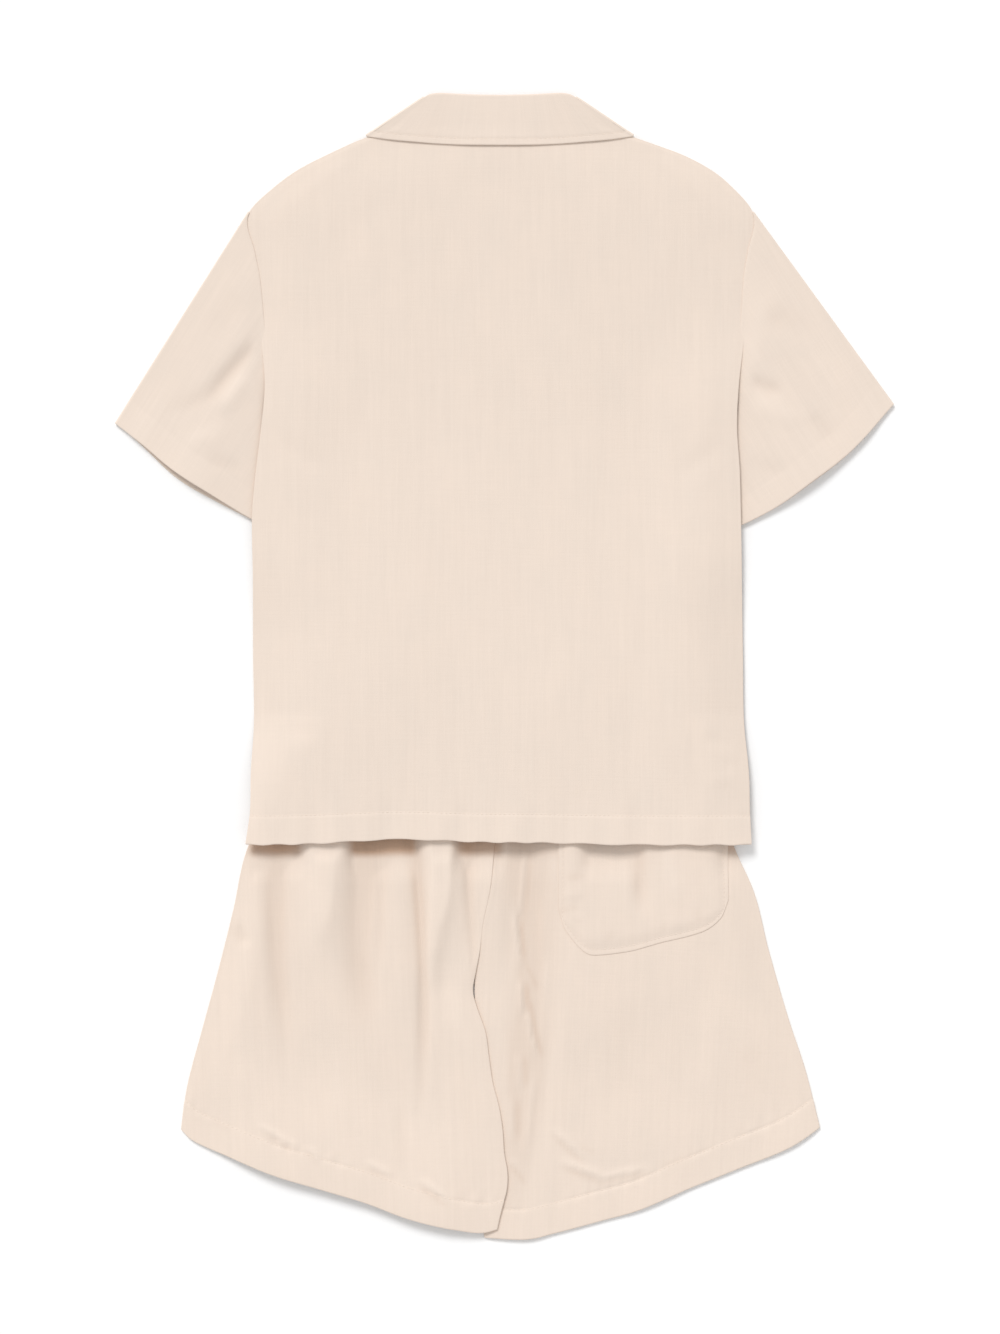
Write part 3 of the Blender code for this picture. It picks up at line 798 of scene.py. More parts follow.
@dataclass(frozen=True)
class Thread:
    """Sewing thread, laid as a row of single stitches."""

    length: float = 0.0026
    gap: float = 0.0008
    half: float = 0.00024
    sides: int = 5

    def sew(
        self,
        name: str,
        runs: Sequence[tuple[np.ndarray, np.ndarray]],
        material: bpy.types.Material,
    ) -> None:
        """Lay stitches along lines on the cloth, as one mesh.

        Args:
            name: The object's name.
            runs: For each line its points, and the cloth's normals there.
            material: The thread's finish.
        """
        blocks, pitch = [], self.length + self.gap
        turns = 2 * math.pi * np.arange(self.sides) / self.sides
        for path, up in runs:
            steps = lengths(path)
            count = int(steps[-1] / pitch)
            if count < 1:
                continue
            middles = (np.arange(count) + 0.5) * steps[-1] / count
            head = read_path(path, steps, middles + self.length / 2)
            tail = read_path(path, steps, middles - self.length / 2)
            along, normal = unit(head - tail), unit(read_path(up, steps, middles))
            side = unit(np.cross(normal, along))
            rings = []
            for share, thick, rise in STITCH:
                centre = (head + tail) / 2 + (head - tail) * share + normal * self.half * rise
                out = side[:, None] * np.cos(turns)[:, None] + normal[:, None] * np.sin(turns)[:, None]
                rings.append(centre[:, None] + out * self.half * thick)
            blocks.append(np.stack(rings, axis=1))
        stack = np.concatenate(blocks)
        count, depth, sides = stack.shape[:3]
        index = np.arange(count * depth * sides).reshape(count, depth, sides)
        a, b = index[:, :-1], index[:, 1:]
        walls = np.stack((a, np.roll(a, -1, axis=2), np.roll(b, -1, axis=2), b), -1).reshape(-1, 4)
        piece = make_mesh(name, stack.reshape(-1, 3), walls, material)
        log.info("%s: %d stitches", name, count)


def read_path(rows: np.ndarray, steps: np.ndarray, at: np.ndarray) -> np.ndarray:
    """Read the places at given lengths along a path, from its points and the length at each."""
    return np.stack([np.interp(at, steps, rows[:, k]) for k in range(3)], -1)


class Graph:
    """A material's node graph, built node by node."""

    def __init__(self, name: str) -> None:
        """Start a material with one shader.

        Args:
            name: The material's name.
        """
        self.material = bpy.data.materials.new(name)
        self.material.use_nodes = True
        self.tree = self.material.node_tree
        self.shader = self.tree.nodes["Principled BSDF"]

    def node(
        self,
        kind: str,
        values: dict[str | int, object] | None = None,
        **settings: object,
    ) -> bpy.types.Node:
        """Add a node.

        Args:
            kind: The node's type.
            values: Values or sources for its sockets, by name or by place.
            settings: Its own settings.

        Returns:
            The node.
        """
        made = self.tree.nodes.new(kind)
        for key, value in settings.items():
            setattr(made, key, value)
        for socket, value in (values or {}).items():
            if isinstance(value, bpy.types.NodeSocket):
                self.tree.links.new(value, made.inputs[socket])
            else:
                made.inputs[socket].default_value = value
        return made

    def sum(self, kind: str, *values: object) -> bpy.types.NodeSocket:
        """Do one sum on sockets and numbers."""
        return self.node("ShaderNodeMath", dict(enumerate(values)), operation=kind).outputs[0]

    def swing(self, noise: bpy.types.NodeSocket, strength: float) -> bpy.types.NodeSocket:
        """Let a noise swing about 0."""
        return self.sum("MULTIPLY", self.sum("SUBTRACT", noise, 0.5), strength)

    def mark(self, name: str) -> bpy.types.NodeSocket:
        """Read one of the cloth's marks."""
        return self.node("ShaderNodeAttribute", attribute_name=name).outputs["Fac"]

    def grey(self, light: bpy.types.NodeSocket) -> bpy.types.NodeSocket:
        """Make a grey of a brightness."""
        return self.node("ShaderNodeCombineXYZ", {0: light, 1: light, 2: light}).outputs[0]

    def mix(self, share: object, first: object, second: object, **settings: str) -> bpy.types.NodeSocket:
        """Mix two colours."""
        values = {0: share, 6: first, 7: second}
        return self.node("ShaderNodeMix", values, data_type="RGBA", **settings).outputs[2]

    def bump(self, height: bpy.types.NodeSocket, strength: float, distance: float) -> None:
        """Roughen the surface by a height."""
        values = {"Strength": strength, "Distance": distance, "Height": height}
        self.link(self.node("ShaderNodeBump", values).outputs[0], "Normal")

    def noise(
        self,
        place: bpy.types.NodeSocket,
        stretch: tuple[float, float],
        **values: float,
    ) -> bpy.types.NodeSocket:
        """Read a noise that is stretched along one of the threads.

        Args:
            place: The place on the cloth.
            stretch: Rises to a metre across the cloth, and along it.
            values: Detail and Roughness of the noise.

        Returns:
            The noise, between 0 and 1.
        """
        scaled = self.node("ShaderNodeMapping", {"Vector": place, "Scale": (*stretch, 1.0)})
        sockets = {"Vector": scaled.outputs[0], "Scale": 1.0} | values
        return self.node("ShaderNodeTexNoise", sockets).outputs["Fac"]

    def link(self, source: bpy.types.NodeSocket, name: str) -> None:
        """Lead a socket to the shader."""
        self.tree.links.new(source, self.shader.inputs[name])

    def plain(self, **values: object) -> None:
        """Set values on the shader's own sockets, with spaces in place of underscores."""
        for name, value in values.items():
            self.shader.inputs[name.replace("_", " ")].default_value = value


@dataclass(frozen=True)
class Linen:
    """Washed linen in plain weave, with slubs along the warp and fewer along the weft."""

    name: str
    colour: tuple[float, float, float]
    slub: float = 0.032
    cloud: float = 0.036
    hem_light: float = 0.016
    # How much the crease mark darkens the cloth, as painted shade.
    painted_crease_shade: float = 0.068
    pitch: float = 0.00062
    depth: float = 0.00010
    # The deeper, warmer colour of the random mottling and of the painted shade in creases.
    mottle_and_painted_shade_tint: tuple[float, float, float] = (1.0, 0.80, 0.66)
    warp: tuple[float, float] = (640.0, 22.0)
    warp_slubs: tuple[float, float] = (210.0, 8.0)
    weft: tuple[float, float] = (30.0, 560.0)
    clouds: tuple[float, float] = (38.0, 26.0)

    def make(self) -> bpy.types.Material:
        """Make the material.

        Returns:
            The material, which reads the cloth's flat cut and its marks.
        """
        graph = Graph(self.name)
        place = graph.node("ShaderNodeUVMap", uv_map="cloth").outputs[0]
        warp = graph.noise(place, self.warp, Detail=5.0, Roughness=0.66)
        slubs = graph.noise(place, self.warp_slubs, Detail=3.0, Roughness=0.6)
        weft = graph.noise(place, self.weft, Detail=4.0, Roughness=0.62)
        cloud = graph.noise(place, self.clouds, Detail=5.0, Roughness=0.62)
        light = self.light(graph, warp, slubs, weft, cloud)
        # The crease mark paints shade: a deeper, warmer colour and a darker tone in creases and in the
        # hollows under the shirt's hem, and a little painted light where it is negative.
        crease = graph.mark("crease")
        deep = tuple(part * share for part, share in zip(self.colour, self.mottle_and_painted_shade_tint))
        depth = graph.sum("MULTIPLY", crease, graph.sum("MULTIPLY_ADD", crease, 0.035, 0.07))
        mottle_and_painted_shade_share = graph.sum("MULTIPLY_ADD", cloud, 0.1, depth)
        mottled_and_painted_shade = graph.mix(mottle_and_painted_shade_share, (*self.colour, 1.0), (*deep, 1.0))
        graph.link(graph.mix(1.0, mottled_and_painted_shade, graph.grey(light), blend_type="MULTIPLY"), "Base Color")
        graph.link(graph.sum("MULTIPLY_ADD", warp, 0.12, 0.82), "Roughness")
        axes = graph.node("ShaderNodeSeparateXYZ", {0: place})
        turn = 2 * math.pi / self.pitch
        over, under = (graph.sum("SINE", graph.sum("MULTIPLY", axes.outputs[k], turn)) for k in (0, 1))
        weave = graph.sum("MULTIPLY", over, under)
        thick = graph.sum("MULTIPLY", graph.sum("ADD", warp, weft), 1.6)
        graph.bump(graph.sum("MULTIPLY_ADD", weave, 0.35, thick), 0.55, self.depth)
        graph.plain(Sheen_Weight=0.12, Sheen_Roughness=0.6, Specular_IOR_Level=0.15)
        return graph.material

    def light(
        self,
        graph: Graph,
        warp: bpy.types.NodeSocket,
        slubs: bpy.types.NodeSocket,
        weft: bpy.types.NodeSocket,
        cloud: bpy.types.NodeSocket,
    ) -> bpy.types.NodeSocket:
        """Work out how light the cloth is from its threads and hems, with painted shade where the crease mark
        is high.

        Args:
            graph: The material's graph.
            warp: The fine noise along the warp.
            slubs: The coarse noise along the warp.
            weft: The noise along the weft.
            cloud: The mottling.

        Returns:
            The brightness, about 1.
        """
        streak = graph.sum("MULTIPLY_ADD", graph.sum("SUBTRACT", warp, 0.5), self.slub * 2.2, 1.0)
        threads = graph.sum("ADD", streak, graph.swing(slubs, self.slub * 1.9))
        others = graph.sum("ADD", graph.swing(weft, self.slub * 0.9), graph.swing(cloud, self.cloud * 2.0))
        light = graph.sum("ADD", threads, others)
        light = graph.sum("MULTIPLY_ADD", graph.mark("double"), self.hem_light, light)
        # Painted shade: the crease mark darkens the cloth in blotches.
        painted_shade_blotch = graph.sum("MULTIPLY", graph.mark("crease"), graph.sum("MULTIPLY_ADD", cloud, 1.4, 0.3))
        return graph.sum("MULTIPLY_ADD", painted_shade_blotch, -self.painted_crease_shade, light)


@dataclass(frozen=True)
class SewingThread:
    """Spun thread with a twist, a little lighter than the cloth."""

    name: str
    colour: tuple[float, float, float]

    def make(self) -> bpy.types.Material:
        """Make the material.

        Returns:
            The material.
        """
        graph = Graph(self.name)
        place = graph.node("ShaderNodeTexCoord").outputs["Object"]
        ply = graph.noise(place, (5200.0, 5200.0), Detail=2.0, Roughness=0.5)
        light = graph.sum("MULTIPLY_ADD", ply, 0.16, 0.92)
        shade = graph.mix(1.0, (*self.colour, 1.0), graph.grey(light), blend_type="MULTIPLY")
        graph.link(shade, "Base Color")
        graph.bump(ply, 0.4, 0.00006)
        graph.plain(Roughness=0.72, Sheen_Weight=0.15, Specular_IOR_Level=0.3)
        return graph.material


@dataclass(frozen=True)
class Horn:
    """Pale polished horn, with cloudy bands."""

    name: str = "pale_horn"
    light: tuple[float, float, float] = (0.66, 0.53, 0.39)
    dark: tuple[float, float, float] = (0.44, 0.31, 0.20)

    def make(self) -> bpy.types.Material:
        """Make the material.

        Returns:
            The material.
        """
        graph = Graph(self.name)
        place = graph.node("ShaderNodeTexCoord").outputs["Object"]
        bands = graph.noise(place, (520.0, 130.0), Detail=5.0, Roughness=0.6)
        sharp = graph.node("ShaderNodeMapRange", {0: bands, 1: 0.35, 2: 0.68}).outputs[0]
        graph.link(graph.mix(sharp, (*self.light, 1.0), (*self.dark, 1.0)), "Base Color")
        graph.link(graph.sum("MULTIPLY_ADD", bands, 0.16, 0.24), "Roughness")
        graph.bump(bands, 0.15, 0.00004)
        graph.plain(Coat_Weight=0.2, Coat_Roughness=0.2)
        return graph.material


@dataclass(frozen=True)
class StudioFloor:
    """The white paper that the set lies on."""

    name: str = "studio_paper"
    reach: float = 30.0
    white: float = 0.965
    down: float = -0.00025

    def make(self) -> None:
        """Make the floor, which isn't part of the object."""
        graph = Graph(self.name)
        place = graph.node("ShaderNodeTexCoord").outputs["Object"]
        grain = graph.noise(place, (60.0, 60.0), Detail=2.0)
        graph.link(graph.grey(graph.sum("MULTIPLY_ADD", grain, 0.01, self.white)), "Base Color")
        graph.plain(Roughness=0.95, Specular_IOR_Level=0.1)
        side, down = self.reach, self.down
        corners = [(-side, -side, down), (side, -side, down), (side, side, down), (-side, side, down)]
        mesh = bpy.data.meshes.new("studio_floor")
        mesh.from_pydata(corners, [], [(0, 1, 2, 3)])
        mesh.materials.append(graph.material)
        floor = bpy.data.objects.new("studio_floor", mesh)
        bpy.context.scene.collection.objects.link(floor)


@dataclass(frozen=True)
class Studio:
    """Soft light from the collar's side, and the camera straight above."""

    centre: tuple[float, float] = (-0.0034, -0.0004)
    view_height: float = 1.0138
    lens: float = 85.0
    sensor: float = 36.0
    sky: float = 0.69
    key: float = 1.75
    key_angle: float = 22.0
    key_tilt: float = 46.0
    key_turn: float = 24.0

    def light(self) -> None:
        """Set the even sky and the soft key light."""
        world = bpy.data.worlds.new("studio_sky")
        world.use_nodes = True
        ground = world.node_tree.nodes["Background"]
        ground.inputs["Color"].default_value = (1.0, 1.0, 1.0, 1.0)
        ground.inputs["Strength"].default_value = self.sky
        bpy.context.scene.world = world
        lamp = bpy.data.lights.new("soft_key", "SUN")
        lamp.energy = self.key
        lamp.angle = math.radians(self.key_angle)
        key = bpy.data.objects.new("soft_key", lamp)
        key.rotation_euler = (math.radians(-self.key_tilt), 0.0, math.radians(self.key_turn))
        bpy.context.scene.collection.objects.link(key)
        bpy.context.scene.view_settings.view_transform = "Standard"
        bpy.context.scene.view_settings.look = "None"

    def camera(self) -> None:
        """Set the camera straight above the set, with no shift and no depth of field."""
        data = bpy.data.cameras.new("above")
        data.lens = self.lens
        data.sensor_width = self.sensor
        eye = bpy.data.objects.new("above", data)
        eye.location = (*self.centre, self.view_height * self.lens / self.sensor)
        bpy.context.scene.collection.objects.link(eye)
        bpy.context.scene.camera = eye


class Held(Enum):
    """How a piece of cloth is held."""

    LAID = "laid"
    FOLDED = "folded"
    GATHERED = "gathered"


class Side(Enum):
    """The wearer's side, with the sign of x there."""

    LEFT = -1
    RIGHT = 1

    @property
    def word(self) -> str:
        """Give the side's name, as the pieces use it."""
        return self.name.lower()


@dataclass
class Finishes:
    """The finishes of the set."""

    shirt: bpy.types.Material = field(init=False)
    shorts: bpy.types.Material = field(init=False)
    thread: bpy.types.Material = field(init=False)
    horn: bpy.types.Material = field(init=False)

    def __post_init__(self) -> None:
        """Make them all."""
        self.shirt = Linen("shirt_linen", (0.804, 0.6920, 0.6010)).make()
        self.shorts = Linen("shorts_linen", (0.812, 0.6950, 0.6010), cloud=0.044, hem_light=0.006).make()
        self.thread = SewingThread("sewing_thread", (0.84, 0.725, 0.625)).make()
        self.horn = Horn().make()


def lay(
    sheet: Sheet,
    finish: bpy.types.Material,
    node: str,
    flat: tuple[float, float],
) -> None:
    """Build a cloth piece, hide the solid that it stands for, and log what it was cut from.

    Args:
        sheet: The cloth's shape.
        finish: Its finish.
        node: The solid's name.
        flat: The cut's width and length.
    """
    piece = sheet.build(finish)
    grid = sheet.points
    if sheet.ring:
        grid = np.concatenate((grid, grid[:, :1]), axis=1)
    cut = np.cross(grid[1:, 1:] - grid[:-1, :-1], grid[1:, :-1] - grid[:-1, 1:])
    area = float(np.linalg.norm(cut, axis=-1).sum() / 2)
    share = area / (flat[0] * flat[1])
    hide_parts(node)
    log.info("%s: cut %.3f x %.3f m, %.4f m2, share %.2f", piece.name, *flat, area, share)


BACK_CREASES = (
    Fold(0.1660, -0.0730, 0.1840, -0.0760, -0.0009, 0.0035),
    Fold(0.1560, -0.0860, 0.1800, -0.0850, 0.0007, 0.0045),
    Fold(0.1500, -0.0560, 0.1780, -0.0600, -0.0006, 0.0050),
    Fold(-0.1700, -0.0480, -0.1400, -0.0500, -0.0005, 0.0060),
    Fold(-0.1780, 0.1750, -0.1350, 0.1500, -0.0007, 0.0080),
    Fold(0.1700, 0.1700, 0.1320, 0.1420, -0.0007, 0.0080),
    Fold(-0.0900, 0.3550, -0.1250, 0.3150, -0.0005, 0.0110),
    Fold(0.0850, 0.3560, 0.1180, 0.3150, -0.0005, 0.0110),
    Fold(-0.1000, 0.0100, -0.0950, -0.0900, 0.0006, 0.0150),
    Fold(0.0400, 0.0000, 0.0460, -0.1000, 0.0006, 0.0160),
    Fold(-0.0300, 0.0300, -0.0270, -0.1100, -0.0005, 0.0120),
    Fold(0.1100, 0.0200, 0.1080, -0.1100, -0.0006, 0.0140),
)


@dataclass
class ShirtBody:
    """The shirt's back and its two fronts."""

    finishes: Finishes
    hem_depth: float = 0.0215
    pitch: float = 0.0033
    front_pitch: float = 0.0042
    span: float = 0.384
    unrest: float = 0.00065

    def rows(self) -> np.ndarray:
        """Place the rows from the hem to the neck."""
        return HEM_Y + spread(NECK_Y - HEM_Y, self.pitch, fine=(RIM, self.hem_depth))

    def sway(self, x: np.ndarray, y: np.ndarray) -> np.ndarray:
        """Move the rows near the hem along with its waves."""
        return (hem_y(x) - HEM_Y) * (1 - ease(HEM_Y, HEM_Y + 0.06, y))

    def hem_relief(self, down: np.ndarray, along: np.ndarray) -> tuple[np.ndarray, np.ndarray]:
        """Shape a doubled hem that is sewn down.

        Args:
            down: How far each place lies from the hem's edge.
            along: How far along the hem it lies.

        Returns:
            How doubled the cloth is, and how far its upper face stands out.
        """
        past = down - self.hem_depth
        double = 1 - ease(-0.0006, 0.0012, past)
        pucker = 0.00010 * np.sin(along * 620 + 3 * np.sin(along * 90)) * bell(past, PUCKER_REACH)
        groove = 0.00022 * bell(past + 0.0002, HEM_SEAM)
        return double, 0.00028 * double - groove + pucker

    def back(self) -> Sheet:
        """Shape the back, with its small creases.

        Returns:
            The back's sheet.
        """
        y = self.rows()[:, None]
        share = spread(self.span, self.pitch, fine=(RIM, self.span - RIM))[None, :] / self.span
        left, right = BODY_LEFT(y), BODY_RIGHT(y)
        x = left + (right - left) * share
        off = np.minimum(1.0, np.abs(x - CENTRE_X) / (CENTRE_X - left))
        dip = NECK_DIP * ease(SHOULDER_Y, NECK_Y, y) * (1 - off**2)
        sway = self.sway(x, y)
        sway += 0.00045 * np.sin(x * 210 + 2 * np.sin(x * 37)) * (1 - ease(0.0, 0.012, y - HEM_Y))
        inside = ease(0.0, 0.030, to_side(x, y)) * (1 - ease(0.36, 0.40, y))
        z = back_z(x, y) + crease_height(BACK_CREASES, x, y) * inside
        z += self.unrest * ripple(x, y * 0.6, 0.030, 0.7) * inside
        low = 1 - ease(0.0, 0.045, y - HEM_Y)
        z += 0.0007 * low * inside * (np.sin(x * 95 + 1.0) + 0.6 * np.sin(x * 231))
        double, relief = self.hem_relief(y - HEM_Y, x)
        points = join(x, y - dip + sway, z)
        return Sheet("shirt_back_cloth", points, join(x, y), double=double, relief=relief)

    def front(self, side: Side) -> Sheet:
        """Shape one front, from its overlapped edge to its side seam.

        Args:
            side: Which front.

        Returns:
            The front's sheet.
        """
        y = self.rows()[:, None]
        outside = (BODY_LEFT if side is Side.LEFT else BODY_RIGHT)(y)
        inside = CENTRE_X + side.value * roll_line(y)
        wide = float(np.abs(outside - inside).max())
        share = spread(wide, self.front_pitch, fine=(RIM, wide - RIM))[None, :] / wide
        if side is Side.LEFT:
            share = 1 - share[:, ::-1]
            x = outside + (inside - outside) * share
        else:
            x = inside + (outside - inside) * share
        z = front_z(x, y, outer=side is Side.LEFT)
        lifted = ease(0.0, 0.030, to_side(x, y)) * over_shorts(x, y)
        z += 0.5 * lifted * crease_height(BACK_CREASES, x, y)
        double, _ = self.hem_relief(y - HEM_Y, x)
        points = join(x, y + self.sway(x, y), z)
        return Sheet(f"shirt_front_{side.word}_cloth", points, join(x, y), double=double)

    def make(self) -> None:
        """Build the three panels and sew their hems."""
        back, finish = self.back(), self.finishes.shirt
        lay(back, finish, "shirt_back", (0.385, 0.549))
        rows = self.rows()
        at = float(np.interp(HEM_Y + self.hem_depth, rows, np.arange(len(rows))))
        runs = [back.line(row=at)]
        for side in Side:
            front = self.front(side)
            lay(front, finish, f"shirt_front_{side.word}", (0.205, 0.549))
            low = Sheet(front.name, front.points[:, ::-1], front.cloth[:, ::-1], double=front.double[:, ::-1])
            runs.append(low.line(row=at))
        Thread().sew("shirt_hem_stitches", runs, self.finishes.thread)


def roll_line(y: np.ndarray) -> np.ndarray:
    """Tell how far the neck edge of a front lies from the centre line.

    Args:
        y: Places along.

    Returns:
        The distance at each place, negative where the fronts overlap.
    """
    slope = (GORGE_HALF + OVERLAP) / (GORGE_Y - BREAK_Y)
    open_neck = -OVERLAP + slope * (y - BREAK_Y)
    top = GORGE_HALF + (0.066 - GORGE_HALF) * (y - GORGE_Y) / (NECK_Y - GORGE_Y)
    return np.where(y < BREAK_Y, -OVERLAP, np.where(y < GORGE_Y, open_neck, top))


LEFT_SLEEVE_CREASES = (
    Fold(-0.1910, 0.2460, -0.2210, 0.2050, -0.0026, 0.0060),
    Fold(-0.1960, 0.2210, -0.2120, 0.1940, 0.0013, 0.0069),
    Fold(-0.2130, 0.2110, -0.2560, 0.1930, -0.0013, 0.0069),
    Fold(-0.1960, 0.3360, -0.1930, 0.3000, -0.0012, 0.0081),
    Fold(-0.2010, 0.2860, -0.2280, 0.2480, -0.0011, 0.0112),
    Fold(-0.2350, 0.2700, -0.2600, 0.2220, 0.0010, 0.0125),
    Fold(-0.1970, 0.1500, -0.2250, 0.1560, -0.0010, 0.0063),
    Fold(-0.2120, 0.1800, -0.2440, 0.1680, 0.0008, 0.0075),
)
RIGHT_SLEEVE_CREASES = (
    Fold(0.2010, 0.2690, 0.2390, 0.2500, -0.0021, 0.0100),
    Fold(0.1870, 0.2180, 0.2100, 0.2060, -0.0016, 0.0052),
    Fold(0.1900, 0.2020, 0.2200, 0.1830, 0.0011, 0.0075),
    Fold(0.2320, 0.1900, 0.2520, 0.1720, -0.0010, 0.0069),
    Fold(0.1960, 0.3200, 0.2060, 0.2880, -0.0010, 0.0100),
    Fold(0.2400, 0.2350, 0.2640, 0.2100, 0.0010, 0.0106),
    Fold(0.1830, 0.1560, 0.2120, 0.1450, -0.0010, 0.0069),
)


@dataclass
class Sleeve:
    """A short sleeve as a flattened tube, folded along its top."""

    finishes: Finishes
    side: Side
    cuff: Sequence[Spot]
    creases: Sequence[Fold]
    peek: float
    hem_depth: float = 0.0200
    pitch: float = 0.0036
    span: float = 0.17
    turn: int = 8
    tuck: float = 0.0030
    seam_drop: float = 0.0008
    grain: float = 32.0

    def plan(self) -> tuple[np.ndarray, int]:
        """Lay out the sleeve from the armhole to the cuff, seen from above.

        Returns:
            The places, row by row, and the row of the hem's stitches, counted from the cuff.
        """
        share = spread(self.span, self.pitch) / self.span
        share = np.unique(np.concatenate((share, [0.006, 0.014, 0.986, 0.994])))
        arm_y = SHOULDER_Y - self.seam_drop + (UNDERARM_Y - SHOULDER_Y) * share
        rail = BODY_LEFT if self.side is Side.LEFT else BODY_RIGHT
        under = ease(0.10, 0.35, share) * (1 - ease(0.72, 0.96, share))
        arm_x = rail(arm_y) + self.side.value * (0.0001 + 0.0010 * share**4 - self.tuck * under)
        arm, end = join(arm_x, arm_y), trace(self.cuff, share)
        length = np.linalg.norm(end - arm, axis=1)
        near = np.concatenate(([0.0, RIM, 0.0020], spread(self.hem_depth, self.pitch)[2:-1]))
        near = np.concatenate((near, self.hem_depth + np.arange(-2, 4) * RIM))
        near = np.unique(np.round(near, 6))
        far = near[-1] + (length - near[-1]) * np.linspace(0.0, 1.0, 44)[1:, None]
        away = np.concatenate((near[:, None] + 0 * length, far))
        rows = end + (arm - end) * (away / length)[..., None]
        return rows[::-1], int(np.argmin(np.abs(near - self.hem_depth)))

    def marks(self, away: np.ndarray, deep: np.ndarray) -> list[np.ndarray]:
        """Work out the hem and the creases all round the tube.

        Args:
            away: How far each place of the upper layer lies from the cuff.
            deep: How deep in a crease it lies.

        Returns:
            How doubled the cloth is, its relief, and how deep in a crease it lies, which the finish paints as
            shade.
        """
        past = away - self.hem_depth
        share = np.linspace(0, 1, away.shape[1])
        double = 1 - ease(-0.0005, 0.0011, past)
        relief = 0.00030 * double - 0.00022 * bell(past, HEM_SEAM)
        relief += 0.00010 * np.sin(share * 110) * bell(past, PUCKER_REACH)
        edge = np.zeros((len(away), self.turn - 1))
        caps = [edge + double[:, [k]] for k in (-1, 0)]
        around = [np.concatenate((double, caps[0], double[:, ::-1], caps[1]), axis=1)]
        return around + [np.concatenate((part, edge, 0 * part, edge), axis=1) for part in (relief, deep)]

    def shape(self) -> tuple[Sheet, int]:
        """Shape the tube.

        Returns:
            The sheet, and the row of its hem's stitches.
        """
        plan, stitch_row = self.plan()
        length = np.linalg.norm(plan[-1] - plan[0], axis=-1)
        away = np.linalg.norm(plan - plan[-1], axis=-1)
        out = 1 - away / length
        share = np.linspace(0, 1, plan.shape[1])
        arm_share = (SHOULDER_Y - self.seam_drop - plan[0, :, 1]) / (SHOULDER_Y - UNDERARM_Y)
        swell = np.sin(math.pi * arm_share) ** 2
        radius = SLEEVE_RADIUS + 0.0003 * out
        middle = CLOTH / 2 + radius
        puff = (0.0022 + 0.0008 * out) * ease(0.0, 0.25, out)
        x, y = plan[..., 0], plan[..., 1]
        free = swell[None, :] * ease(0.05, 0.20, out)
        creases = crease_height(self.creases, x, y)
        upper = middle + radius + puff * swell + free * creases
        upper = upper + free * 0.00050 * ripple(x, y, 0.024, 2.0 + self.side.value)
        lift = 0.0014 * ease(0.55, 1.0, out) * np.sin(share * 7.0 + 0.6) ** 2 * np.minimum(1.0, swell * 3)
        tucked = ease(0.10, 0.35, arm_share) * (1 - ease(0.60, 0.90, arm_share))
        beside = self.side.value * self.tuck * tucked * (1 - out) ** 6
        low = join(x + beside, y - self.peek * out**3 * swell, middle - radius)[:, ::-1]
        under_arm = self.edge(plan, -1, -self.side.value, middle[:, -1], radius[:, -1], out[:, -1])
        along_fold = self.edge(plan, 0, self.side.value, middle[:, 0], -radius[:, 0], out[:, 0])
        grid = np.concatenate((join(x, y, upper + lift), under_arm, low, along_fold), axis=1)
        # The crease mark paints shade along the sleeve's creases, and a little painted light on its ridges.
        double, relief, crease = self.marks(away, np.clip(-creases / 0.0030, -0.2, 1.0) * free)
        grain = math.radians(self.grain * self.side.value)
        across, along = grid[..., 0], grid[..., 1]
        cloth = join(
            across * math.cos(grain) + along * math.sin(grain),
            along * math.cos(grain) - across * math.sin(grain),
        )
        round_way = self.side.value
        parts = (part[::-1, ::round_way] for part in (grid, cloth, double, relief, crease))
        grid, cloth, double, relief, crease = parts
        name = f"shirt_sleeve_{self.side.word}_cloth"
        return Sheet(name, grid, cloth, ring=True, double=double, relief=relief, crease=crease), stitch_row

    def edge(
        self,
        plan: np.ndarray,
        column: int,
        side: int,
        middle: np.ndarray,
        radius: np.ndarray,
        out: np.ndarray,
    ) -> np.ndarray:
        """Round the cloth over between the two layers, along the fold or under the arm.

        Args:
            plan: The sleeve's plan.
            column: Its first or last column.
            side: Which way the stretch bulges.
            middle: The height halfway between the layers.
            radius: Half the distance between them, negative where the stretch climbs.
            out: How far along the sleeve each row lies.

        Returns:
            The stretch's points, row by row.
        """
        line = plan[:, column]
        run = unit(np.gradient(line, axis=0))
        outward = np.stack((run[:, 1], -run[:, 0]), -1)
        sign = np.where(outward[:, 0] > 0, side, -side)[:, None]
        outward = outward * sign
        if column == -1:
            outward = outward + (line - plan[:, -8]) / 0.010 * (1 - out)[:, None]
        outward = unit(outward)
        rows = []
        for k in range(1, self.turn):
            angle = math.pi * k / self.turn
            place = line + outward * (np.abs(radius) * math.sin(angle))[:, None]
            rows.append(np.concatenate((place, (middle + radius * math.cos(angle))[:, None]), axis=1))
        return np.stack(rows, axis=1)

    def make(self) -> None:
        """Build the sleeve and sew its hem."""
        sheet, row = self.shape()
        node = f"shirt_sleeve_{self.side.word}"
        lay(sheet, self.finishes.shirt, node, (0.372, 0.215))
        Thread().sew(f"{node}_stitches", [sheet.line(row=row)], self.finishes.thread)


